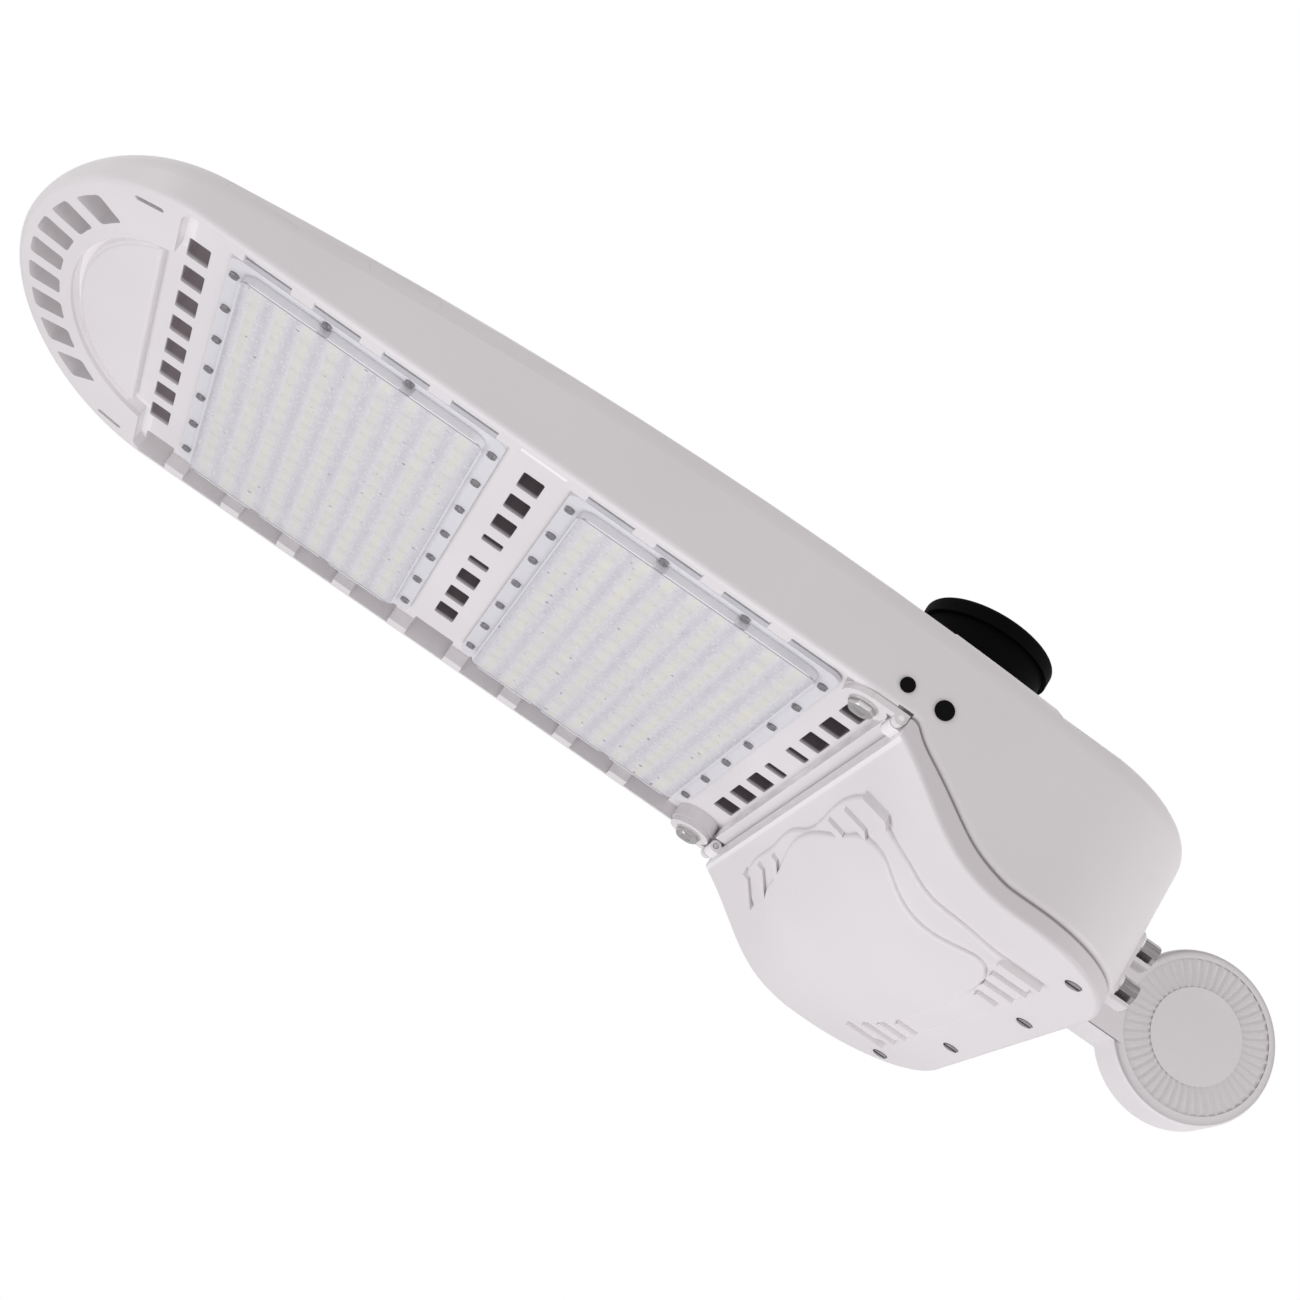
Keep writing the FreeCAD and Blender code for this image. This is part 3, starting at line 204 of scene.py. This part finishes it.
def pastOutline(tree, corner, inner, outer):
    # 0 inside a plan outline with round rear corners, 1 beyond it: the length of the step from the
    # corner's centre to the point, with each part of the step that leads inwards taken as zero
    x, y = objectAxes(tree)[:2]
    rearwards = mathNode(tree, "SUBTRACT", corner[0], x)
    sidewards = mathNode(tree, "SUBTRACT", mathNode(tree, "ABSOLUTE", y), corner[1])
    step = tree.nodes.new("ShaderNodeCombineXYZ")
    for part, socket in zip((rearwards, sidewards), step.inputs):
        tree.links.new(mathNode(tree, "MAXIMUM", part, 0.0), socket)
    return mapRange(tree, vectorLength(tree, step.outputs[0]), inner, outer, 0.0, 1.0)


# light, floor and background
studio = {
    "floorZ": -1.25,
    "floorSize": 14.0,
    "floorTint": (0.80, 0.80, 0.81),
    "floorRoughness": 0.9,
    "skyTint": (0.965, 0.94, 0.95),
    "skyLevel": 0.52,
    "lamps": (
        # name, place, target, size, watts, tint
        ("underLamp", (0.45, 0.05, -1.15), (0.40, 0.0, 0.0), 1.6, 8.8, (0.985, 0.98, 1.0)),
        ("rearLamp", (-2.10, 1.20, -0.20), (0.15, 0.0, 0.0), 1.2, 18.0, (1.0, 0.98, 0.99)),
        ("noseLamp", (2.20, 0.90, 0.40), (0.60, 0.0, 0.0), 1.0, 8.0, white),
    ),
}


def aimedMatrix(place, target):
    # a lamp shines along its own -z, so z points back from the target; x stays level
    back = np.array(place) - np.array(target)
    back /= np.linalg.norm(back)
    side = np.cross((0.0, 0.0, 1.0), back)
    side /= np.linalg.norm(side)
    whole = np.eye(4)
    whole[:3] = np.column_stack([side, np.cross(back, side), back, place])
    return Matrix(whole.tolist())


def addLamps():
    for name, place, target, size, watts, tint in studio["lamps"]:
        data = bpy.data.lights.new(name, "AREA")
        data.shape = "DISK"
        data.size = size
        data.energy = watts
        data.color = tint
        obj = bpy.data.objects.new(name, data)
        bpy.context.scene.collection.objects.link(obj)
        obj.matrix_world = aimedMatrix(place, target)


def backgroundShader(tree, tint, level):
    node = tree.nodes.new("ShaderNodeBackground")
    feed(tree, tint, node.inputs["Color"])
    feed(tree, level, node.inputs["Strength"])
    return node.outputs[0]


def addWorld():
    world = bpy.data.worlds.new("studioWorld")
    bpy.context.scene.world = world
    world.use_nodes = True
    tree = world.node_tree
    tree.nodes.clear()
    # the background shows white to the eye, to glossy metal and through clear plastic
    path = tree.nodes.new("ShaderNodeLightPath").outputs
    seen = mathNode(tree, "MAXIMUM", path["Is Camera Ray"], path["Is Glossy Ray"])
    seen = mathNode(tree, "MAXIMUM", seen, path["Is Transmission Ray"])
    dim = backgroundShader(tree, studio["skyTint"], studio["skyLevel"])
    bright = backgroundShader(tree, white, 1.0)
    mix = tree.nodes.new("ShaderNodeMixShader")
    for source, socket in zip((seen, dim, bright), mix.inputs):
        tree.links.new(source, socket)
    out = tree.nodes.new("ShaderNodeOutputWorld")
    tree.links.new(mix.outputs[0], out.inputs["Surface"])


def newMaterial(name):
    material = bpy.data.materials.new(name)
    material.use_nodes = True
    tree = material.node_tree
    return material, tree, tree.nodes["Principled BSDF"]


def addFloor():
    half, z = studio["floorSize"] / 2, studio["floorZ"]
    corners = [(-half, -half, z), (half, -half, z), (half, half, z), (-half, half, z)]
    mesh = bpy.data.meshes.new("studioFloor")
    mesh.from_pydata(corners, [], [(0, 1, 2, 3)])
    floor = bpy.data.objects.new("studioFloor", mesh)
    bpy.context.scene.collection.objects.link(floor)
    material, tree, shader = newMaterial("studioFloorPaint")
    feed(tree, studio["floorTint"], shader.inputs["Base Color"])
    shader.inputs["Roughness"].default_value = studio["floorRoughness"]
    mesh.materials.append(material)


addLamps()
addWorld()
addFloor()
bpy.context.scene.view_settings.view_transform = "Standard"
print("studio ready")


# what the finishes share
def twoTones(tree, source, tones):
    # from the deep to the pale colour over the spread of the noise
    low, high = tones["spread"]
    return colourRamp(tree, source, ((low, tones["deep"]), (high, tones["pale"])))


def reliefNormal(tree, source, strength, depth):
    bump = tree.nodes.new("ShaderNodeBump")
    bump.inputs["Strength"].default_value = strength
    bump.inputs["Distance"].default_value = depth
    tree.links.new(source, bump.inputs["Height"])
    return bump.outputs["Normal"]


def addGrain(tree, shader, grain, tones):
    # one noise drives both the gloss and the relief
    rough = mapRange(tree, grain, 0.0, 1.0, tones["roughLow"], tones["roughHigh"])
    tree.links.new(rough, shader.inputs["Roughness"])
    normal = reliefNormal(tree, grain, tones["bump"], tones["depth"])
    tree.links.new(normal, shader.inputs["Normal"])
    return normal


# satin powder coat: faint clouds, fine orange peel, and painted grey shade in the corners
powderCoat = {
    "deep": (0.780, 0.752, 0.762), "pale": (0.828, 0.804, 0.812), "spread": (0.3, 0.7),
    "cloudScale": 6.0, "cloudDetail": 2.0, "peelScale": 850.0, "peelDetail": 2.0,
    "roughLow": 0.36, "roughHigh": 0.50, "bump": 0.18, "depth": 0.00012, "specular": 0.42,
    "cornerShade": (0.56, 0.535, 0.545), "cornerReach": 0.005, "cornerOpenness": (0.05, 0.60),
}

# the knuckle's near face, whose fine teeth are coated over and look flatter than they are
toothFace = {
    "low": (-0.060, 0.0105, -0.060), "high": (0.060, 0.0140, 0.060), "soft": (0.001, 0.0008, 0.001),
    "out": (0.0, 1.0, 0.0), "share": 0.93,
}


def evenNormal(tree, normal):
    # leans the normal by that share towards the face's own direction, over the face and its teeth
    face = insideBox(tree, toothFace["low"], toothFace["high"], toothFace["soft"])
    lean = mapRange(tree, face, 0.0, 1.0, 0.0, toothFace["share"])
    unit = tree.nodes.new("ShaderNodeVectorMath")
    unit.operation = "NORMALIZE"
    tree.links.new(mixNode(tree, "VECTOR", lean, normal, toothFace["out"]), unit.inputs[0])
    return unit.outputs["Vector"]


def makePowderCoat(name, paintedShading=(), teeth=False):
    # the functions given in the second argument paint shade and light on one piece's own places
    tones = powderCoat
    material, tree, shader = newMaterial(name)
    tint = twoTones(tree, objectNoise(tree, tones["cloudScale"], tones["cloudDetail"]), tones)
    if not teeth:
        # painted shade: a grey that deepens in narrow corners and gaps
        corner = creviceShade(tree, tones["cornerReach"], tones["cornerOpenness"])
        tint = mixTint(tree, corner, tones["cornerShade"], tint)
    for paintShading in paintedShading:
        tint = paintShading(tree, tint)
    tree.links.new(tint, shader.inputs["Base Color"])
    peel = objectNoise(tree, tones["peelScale"], tones["peelDetail"])
    normal = addGrain(tree, shader, peel, tones)
    if teeth:
        tree.links.new(evenNormal(tree, normal), shader.inputs["Normal"])
    shader.inputs["Specular IOR Level"].default_value = tones["specular"]
    return material


# painted shade on the walls of the vent slots and of the nose windows, each with its own grey, and painted
# light on the slots near the side: the walls stand from low to high, and a row of slots reaches rowHalf to
# each side
ventWallShading = {
    "low": -0.0004, "high": 0.0099, "soft": (0.001, 0.001, 0.0018), "rowHalf": 0.150,
    # rear end, front end and painted shade
    "rows": ((0.262, 0.660, (0.155, 0.130, 0.142)), (0.660, 0.699, (0.300, 0.258, 0.275))),
    # the box of the slots near the side, and the painted light on their walls
    "nearSlots": ((0.302, 0.150, -0.0060), (0.655, 0.1758, 0.0400)), "nearLight": (0.990, 0.980, 1.0),
    # the nose windows' outline, and the painted shade on their walls
    "noseCentre": (0.684, 0.0), "noseHalves": (0.0945, 0.1665), "noseSoft": 0.01,
    "noseFront": 0.700, "noseShade": (0.34, 0.300, 0.315),
}


def shadeVentWalls(tree, tint):
    # painted shade makes the walls of the rows and of the nose windows darker than the faces round them, and
    # painted light makes those of the slots near the side paler
    walls = ventWallShading
    for rear, front, rowShade in walls["rows"]:
        slots = insideBox(tree, (rear, -walls["rowHalf"], walls["low"]),
                          (front, walls["rowHalf"], walls["high"]), walls["soft"])
        tint = mixTint(tree, slots, tint, rowShade)
    tint = mixTint(tree, insideBox(tree, *walls["nearSlots"], walls["soft"]), tint, walls["nearLight"])
    halfX, halfY = walls["noseHalves"]
    windows = insideBox(tree, (walls["noseFront"], -halfY, walls["low"]),
                        (walls["noseCentre"][0] + halfX, halfY, walls["high"]), walls["soft"])
    column = insideEllipse(tree, walls["noseCentre"], walls["noseHalves"], walls["noseSoft"])
    return mixTint(tree, mathNode(tree, "MULTIPLY", windows, column), tint, walls["noseShade"])


# painted light on steps that lie in shade, which makes them paler than their depth lets them be: the groove
# round the nose panel, the two short steps at the ends of its straight edge, and the rear rail; each box is
# its low and high corner
paintedLightSteps = {
    "groove": ((0.7035, -0.130, -0.0071), (0.760, 0.130, -0.0002)),
    "grooveHalves": (0.0668, 0.1260), "grooveSoft": 0.01,
    "ends": ((0.6880, -0.1660, -0.0069), (0.7080, 0.1660, -0.0002)),
    "endInner": 0.1180, "endLight": (0.895, 0.870, 0.880),
    "rail": ((0.2640, -0.176, -0.0094), (0.2690, 0.176, -0.0012)),
    "soft": (0.0005, 0.0005, 0.0004), "tint": (0.985, 0.965, 0.975),
}


def lightenSteps(tree, tint):
    steps, soft = paintedLightSteps, paintedLightSteps["soft"]
    column = insideEllipse(tree, ventWallShading["noseCentre"], steps["grooveHalves"], steps["grooveSoft"])
    groove = mathNode(tree, "MULTIPLY", insideBox(tree, *steps["groove"], soft), column)
    tint = mixTint(tree, groove, tint, steps["tint"])
    # the end steps are one box without its middle, which keeps the tint below it
    low, high = steps["ends"]
    reach = steps["endInner"]
    middle = insideBox(tree, (low[0], -reach, low[2]), (high[0], reach, high[2]), soft)
    ends = mixTint(tree, insideBox(tree, low, high, soft), tint, steps["endLight"])
    tint = mixTint(tree, middle, ends, tint)
    return mixTint(tree, insideBox(tree, *steps["rail"], soft), tint, steps["tint"])


# painted shade makes the door's side walls darker than its face, and painted light makes its front lip paler
doorShading = {
    # the box that holds all of the door but its lip
    "low": (0.0, -0.20, -0.10), "high": (0.2582, 0.20, 0.02), "soft": (0.001, 0.001, 0.001),
    # the painted light on the lip
    "lipLight": (0.93, 0.91, 0.92),
    # the centre of the round corner of the face, and the distances from it where the wall begins; the tint is
    # the walls' painted shade
    "corner": (0.157, 0.110), "inner": 0.0668, "outer": 0.0682, "tint": (0.700, 0.668, 0.678),
}


def shadeDoorSides(tree, tint):
    sides = doorShading
    behindLip = insideBox(tree, sides["low"], sides["high"], sides["soft"])
    tint = mixTint(tree, behindLip, sides["lipLight"], tint)
    wall = pastOutline(tree, sides["corner"], sides["inner"], sides["outer"])
    return mixTint(tree, wall, tint, sides["tint"])


# brushed steel, and the other metals made from it
steel = {
    "deep": (0.56, 0.55, 0.55), "pale": (0.82, 0.81, 0.80), "spread": (0.25, 0.75),
    "grainScale": (60.0, 60.0, 1400.0), "grainDetail": 3.0, "grainRoughness": 0.6,
    "roughLow": 0.22, "roughHigh": 0.40, "bump": 0.10, "depth": 0.00005, "grooveOpenness": (0.35, 0.85),
}
zinc = {
    **steel, "deep": (0.45, 0.46, 0.48), "pale": (0.66, 0.67, 0.70), "grainScale": (90.0, 90.0, 90.0),
    "roughLow": 0.35, "roughHigh": 0.55,
}
brass = {**steel, "deep": (0.52, 0.38, 0.15), "pale": (0.80, 0.62, 0.28)}
driverCase = {
    **steel, "deep": (0.42, 0.42, 0.43), "pale": (0.58, 0.58, 0.60), "grainScale": (30.0, 900.0, 900.0),
    "roughLow": 0.35, "roughHigh": 0.5,
}
armBoltSteel = {
    **steel, "deep": (0.13, 0.12, 0.125), "pale": (0.38, 0.36, 0.37), "roughLow": 0.20, "roughHigh": 0.36,
}
lensScrewSteel = {
    **steel, "deep": (0.20, 0.19, 0.20), "pale": (0.56, 0.55, 0.56), "grainScale": (700.0, 700.0, 700.0),
    "grooveReach": 0.0010, "grooveShade": (0.05, 0.045, 0.05),
}
doorScrewSteel = {
    **steel, "deep": (0.40, 0.39, 0.40), "pale": (0.62, 0.60, 0.61),
    "grooveReach": 0.0016, "grooveShade": (0.05, 0.045, 0.05),
}


def makeSteel(name, tones):
    material, tree, shader = newMaterial(name)
    grain = objectNoise(tree, tones["grainScale"], tones["grainDetail"], tones["grainRoughness"])
    tint = twoTones(tree, grain, tones)
    if "grooveShade" in tones:
        # painted shade darkens the screws' drive recesses and the gaps round their heads
        groove = creviceShade(tree, tones["grooveReach"], tones["grooveOpenness"])
        tint = mixTint(tree, groove, tones["grooveShade"], tint)
    tree.links.new(tint, shader.inputs["Base Color"])
    shader.inputs["Metallic"].default_value = 1.0
    addGrain(tree, shader, grain, tones)
    return material


# moulded plastic, rubber, board mask and phosphor: a fine grain drives colour, gloss and relief
moulded = {"spread": (0.3, 0.7), "grainDetail": 3.0}
blackPlastic = {
    **moulded, "deep": (0.0008, 0.0008, 0.0008), "pale": (0.003, 0.0028, 0.0028), "grainScale": 1800.0,
    "roughLow": 0.60, "roughHigh": 0.80, "bump": 0.25, "depth": 0.0001, "specular": 0.04,
}
blackRubber = {
    **moulded, "deep": (0.003, 0.0025, 0.0025), "pale": (0.010, 0.009, 0.009), "grainScale": 2500.0,
    "roughLow": 0.7, "roughHigh": 0.9, "bump": 0.2, "depth": 0.0001, "specular": 0.05,
}
greySilicone = {
    **moulded, "deep": (0.36, 0.36, 0.37), "pale": (0.46, 0.46, 0.47), "grainScale": 1500.0,
    "roughLow": 0.6, "roughHigh": 0.8, "bump": 0.15, "depth": 0.0001, "specular": 0.3,
}
seamSilicone = {**greySilicone, "deep": (0.40, 0.37, 0.38), "pale": (0.50, 0.47, 0.48)}
greyPlastic = {
    **moulded, "deep": (0.10, 0.10, 0.105), "pale": (0.15, 0.15, 0.155), "grainScale": 1800.0,
    "roughLow": 0.45, "roughHigh": 0.6, "bump": 0.2, "depth": 0.0001, "specular": 0.4,
}
whiteMask = {
    **moulded, "deep": (0.70, 0.71, 0.73), "pale": (0.80, 0.81, 0.83), "grainScale": 700.0,
    "roughLow": 0.35, "roughHigh": 0.5, "bump": 0.1, "depth": 0.00005, "specular": 0.5,
}
phosphor = {
    **moulded, "deep": (0.74, 0.68, 0.30), "pale": (0.85, 0.80, 0.46), "grainScale": 3000.0,
    "roughLow": 0.4, "roughHigh": 0.6, "bump": 0.2, "depth": 0.00005, "specular": 0.5,
}
insulation = {
    **moulded, "deep": (0.02, 0.02, 0.022), "pale": (0.04, 0.04, 0.044), "grainScale": 900.0,
    "roughLow": 0.3, "roughHigh": 0.45, "bump": 0.1, "depth": 0.00005, "specular": 0.5,
}


def makeMoulded(name, tones):
    material, tree, shader = newMaterial(name)
    grain = objectNoise(tree, tones["grainScale"], tones["grainDetail"])
    tree.links.new(twoTones(tree, grain, tones), shader.inputs["Base Color"])
    addGrain(tree, shader, grain, tones)
    shader.inputs["Specular IOR Level"].default_value = tones["specular"]
    return material


# the two light modules, and the distance from one row of their optics to the next
moduleCentres = {"front": 0.583, "rear": 0.378}
rowPitch = 0.0158

# milky clear plastic over the diodes
clearLens = {
    "alpha": 0.74, "edgeAlpha": 0.90, "roughness": 0.16, "ior": 1.58,
    "rippleScale": 150.0, "rippleDetail": 2.0, "rippleStrength": 0.35, "rippleDepth": 0.0005,
    "valley": (0.725, 0.715, 0.785), "crest": (0.975, 0.970, 0.975), "glow": (1.0, 0.990, 0.820),
    # share of the way across a row, and the tone there
    "bands": ((0.08, "valley"), (0.32, "crest"), (0.42, "glow"),
              (0.58, "glow"), (0.70, "crest"), (0.94, "valley")),
    "beadScale": (30.0, 55.0, 30.0), "beadDetail": 2.0, "beadCover": (-0.15, 1.0),
    "haze": (0.870, 0.865, 0.890),
    "speckScale": 420.0, "speckDetail": 1.0, "speckStops": (0.54, 0.74), "speck": white,
    "pitScale": 230.0, "pitDetail": 0.0, "pitStops": (0.795, 0.845), "pit": (0.36, 0.36, 0.42),
    # the window over the diodes, the dark line along its long edges, the tint of the moulding's edge outside
    # it, and the wall that stands there, whose pale tint is painted light
    "halfX": 0.0728, "halfY": 0.1455, "low": -0.0120, "high": -0.0086, "soft": (0.0008, 0.0008, 0.0008),
    "line": 0.0016, "lineTint": (0.42, 0.42, 0.50), "edge": (0.870, 0.870, 0.905),
    "wall": (0.985, 0.985, 1.0), "wallOut": 0.0016, "wallHigh": -0.0048,
}


def rowTint(tree, centre):
    # streaks along the rows, by the share of the way across a row, which is the fraction of
    # (x - centre) / rowPitch + 1/2; then long beads of haze, white specks and grey pits
    tones = clearLens
    steps = mathNode(tree, "MULTIPLY_ADD", objectAxes(tree)[0], 1 / rowPitch, 0.5 - centre / rowPitch)
    share = mathNode(tree, "FRACT", steps)
    tint = colourRamp(tree, share, [(place, tones[tone]) for place, tone in tones["bands"]])
    beads = objectNoise(tree, tones["beadScale"], tones["beadDetail"])
    tint = mixTint(tree, mapRange(tree, beads, 0.0, 1.0, *tones["beadCover"]), tint, tones["haze"])
    for spot in ("speck", "pit"):
        low, high = tones[spot + "Stops"]
        noise = objectNoise(tree, tones[spot + "Scale"], tones[spot + "Detail"])
        tint = mixTint(tree, colourRamp(tree, noise, ((low, black), (high, white))), tint, tones[spot])
    return tint


def insideModule(tree, centre, halfY, high):
    # 1 in the box as long as one module's window, out to halfY on each side and up to high
    tones = clearLens
    low = (centre - tones["halfX"], -halfY, tones["low"])
    return insideBox(tree, low, (centre + tones["halfX"], halfY, high), tones["soft"])


def makeClearLens(name, centre):
    tones = clearLens
    material, tree, shader = newMaterial(name)
    # a thin dark line runs along the long edges of the window, the moulding is milkier outside it, and
    # painted light makes the wall there pale
    wall = insideModule(tree, centre, tones["halfY"] + tones["wallOut"], tones["wallHigh"])
    window = insideModule(tree, centre, tones["halfY"], tones["high"])
    inner = insideModule(tree, centre, tones["halfY"] - tones["line"], tones["high"])
    tint = mixTint(tree, wall, tones["edge"], tones["wall"])
    tint = mixTint(tree, window, tint, tones["lineTint"])
    tint = mixTint(tree, inner, tint, rowTint(tree, centre))
    tree.links.new(tint, shader.inputs["Base Color"])
    shader.inputs["Alpha"].default_value = tones["alpha"]
    cover = mapRange(tree, window, 0.0, 1.0, tones["edgeAlpha"], tones["alpha"])
    tree.links.new(cover, shader.inputs["Alpha"])
    shader.inputs["Roughness"].default_value = tones["roughness"]
    shader.inputs["IOR"].default_value = tones["ior"]
    ripple = objectNoise(tree, tones["rippleScale"], tones["rippleDetail"])
    normal = reliefNormal(tree, ripple, tones["rippleStrength"], tones["rippleDepth"])
    tree.links.new(normal, shader.inputs["Normal"])
    return material


stripedLens = {module: makeClearLens("stripedLens_" + module, x) for module, x in moduleCentres.items()}

# one finish for each material slot, and the pieces that have a finish of their own
finishes = {
    "white_casting": makePowderCoat("whitePowderCoat"),
    "bright_steel": makeSteel("brightSteel", steel),
    "black_rubber": makeMoulded("blackRubber", blackRubber),
    "grey_silicone": makeMoulded("greySilicone", greySilicone),
    "white_board": makeMoulded("whiteBoard", whiteMask),
    "led_phosphor": makeMoulded("ledPhosphor", phosphor),
    "black_cap": makeMoulded("blackCap", blackPlastic),
    "grey_housing_plastic": makeMoulded("greyPlastic", greyPlastic),
    "brass_contact": makeSteel("brassContact", brass),
    "zinc_sheet": makeSteel("zincSheet", zinc),
    "driver_case": makeSteel("driverCase", driverCase),
    "lead_insulation": makeMoulded("leadInsulation", insulation),
}

ownFinishes = {
    "lens_plate_front": stripedLens["front"],
    "lens_plate_rear": stripedLens["rear"],
    "housing": makePowderCoat("ventShadedPowderCoat", paintedShading=(shadeVentWalls, lightenSteps)),
    "mounting_arm": makePowderCoat("toothedPowderCoat", teeth=True),
    "driver_door": makePowderCoat("doorShadedPowderCoat", paintedShading=(shadeDoorSides,)),
    "lens_screws": makeSteel("lensScrewSteel", lensScrewSteel),
    "door_screws": makeSteel("doorScrewSteel", doorScrewSteel),
    "arm_bolts": makeSteel("armBoltSteel", armBoltSteel),
    "door_gasket": makeMoulded("doorGasket", seamSilicone),
}

for part in frame["record"]["subparts"]:
    shown = nodes[part["node"]]
    shown.data.materials.clear()
    shown.data.materials.append(ownFinishes.get(part["node"]) or finishes[part["material_slot"]])
print("finishes assigned")


def meshPiece(name, points, faces, material, body):
    mesh = bpy.data.meshes.new(name)
    mesh.from_pydata(points.tolist(), [], faces)
    mesh.polygons.foreach_set("use_smooth", np.full(len(mesh.polygons), True))
    mesh.materials.append(material)
    mesh.update()
    piece = bpy.data.objects.new(name, mesh)
    bpy.context.scene.collection.objects.link(piece)
    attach(piece, body)


# optics: one shallow clear dome over each diode, inside the lens window; a dome's mesh has rings of
# faces from the middle outwards, each with so many around
optics = {
    "rows": 9, "perRow": 14, "pitch": 0.0195, "baseZ": -0.0072, "height": 0.0044,
    "halfX": 0.0056, "halfY": 0.0082, "rings": 5, "around": 20,
}


def domeShape():
    # at the share s of the way out and the angle a round the middle, x is halfX times s times the
    # cosine of a, y is halfY times s times the sine of a, and z is the height times 1 minus the
    # fourth power of s, so the top is broad
    share = np.linspace(0.0, 1.0, optics["rings"] + 1)[1:, None]
    angle = np.linspace(0.0, 2 * np.pi, optics["around"], endpoint=False)[None, :]
    across = optics["halfX"] * share * np.cos(angle)
    along = optics["halfY"] * share * np.sin(angle)
    rise = optics["height"] * (1 - share ** 4) * np.ones_like(angle)
    rings = np.stack([across, along, rise], axis=-1).reshape(-1, 3)
    points = np.vstack([[(0.0, 0.0, optics["height"])], rings])
    # point 0 is the middle; triangles join it to the first ring, and quads join each ring to the next
    index = 1 + np.arange(len(rings)).reshape(optics["rings"], optics["around"])
    index = np.hstack([index, index[:, :1]])
    middle = np.stack([np.zeros_like(index[0, 1:]), index[0, 1:], index[0, :-1]], axis=-1)
    quads = np.stack([index[:-1, :-1], index[:-1, 1:], index[1:, 1:], index[1:, :-1]], axis=-1).reshape(-1, 4)
    return points, middle, quads


def spaced(count, pitch):
    # the places of count things a pitch apart, centred on 0
    return (np.arange(count) - (count - 1) / 2) * pitch


def addOptics():
    dome, middle, quads = domeShape()
    for name, centre in moduleCentres.items():
        x, y = np.meshgrid(centre + spaced(optics["rows"], rowPitch),
                           spaced(optics["perRow"], optics["pitch"]), indexing="ij")
        places = np.stack([x, y, np.full_like(x, optics["baseZ"])], axis=-1).reshape(-1, 1, 3)
        points = (dome + places).reshape(-1, 3)
        # the faces of each dome count from its own first point
        first = (np.arange(len(places)) * len(dome))[:, None, None]
        faces = (middle[None] + first).reshape(-1, 3).tolist() + (quads[None] + first).reshape(-1, 4).tolist()
        meshPiece("opticDomes_" + name, points, faces, stripedLens[name], "head")


addOptics()
print("optics added")
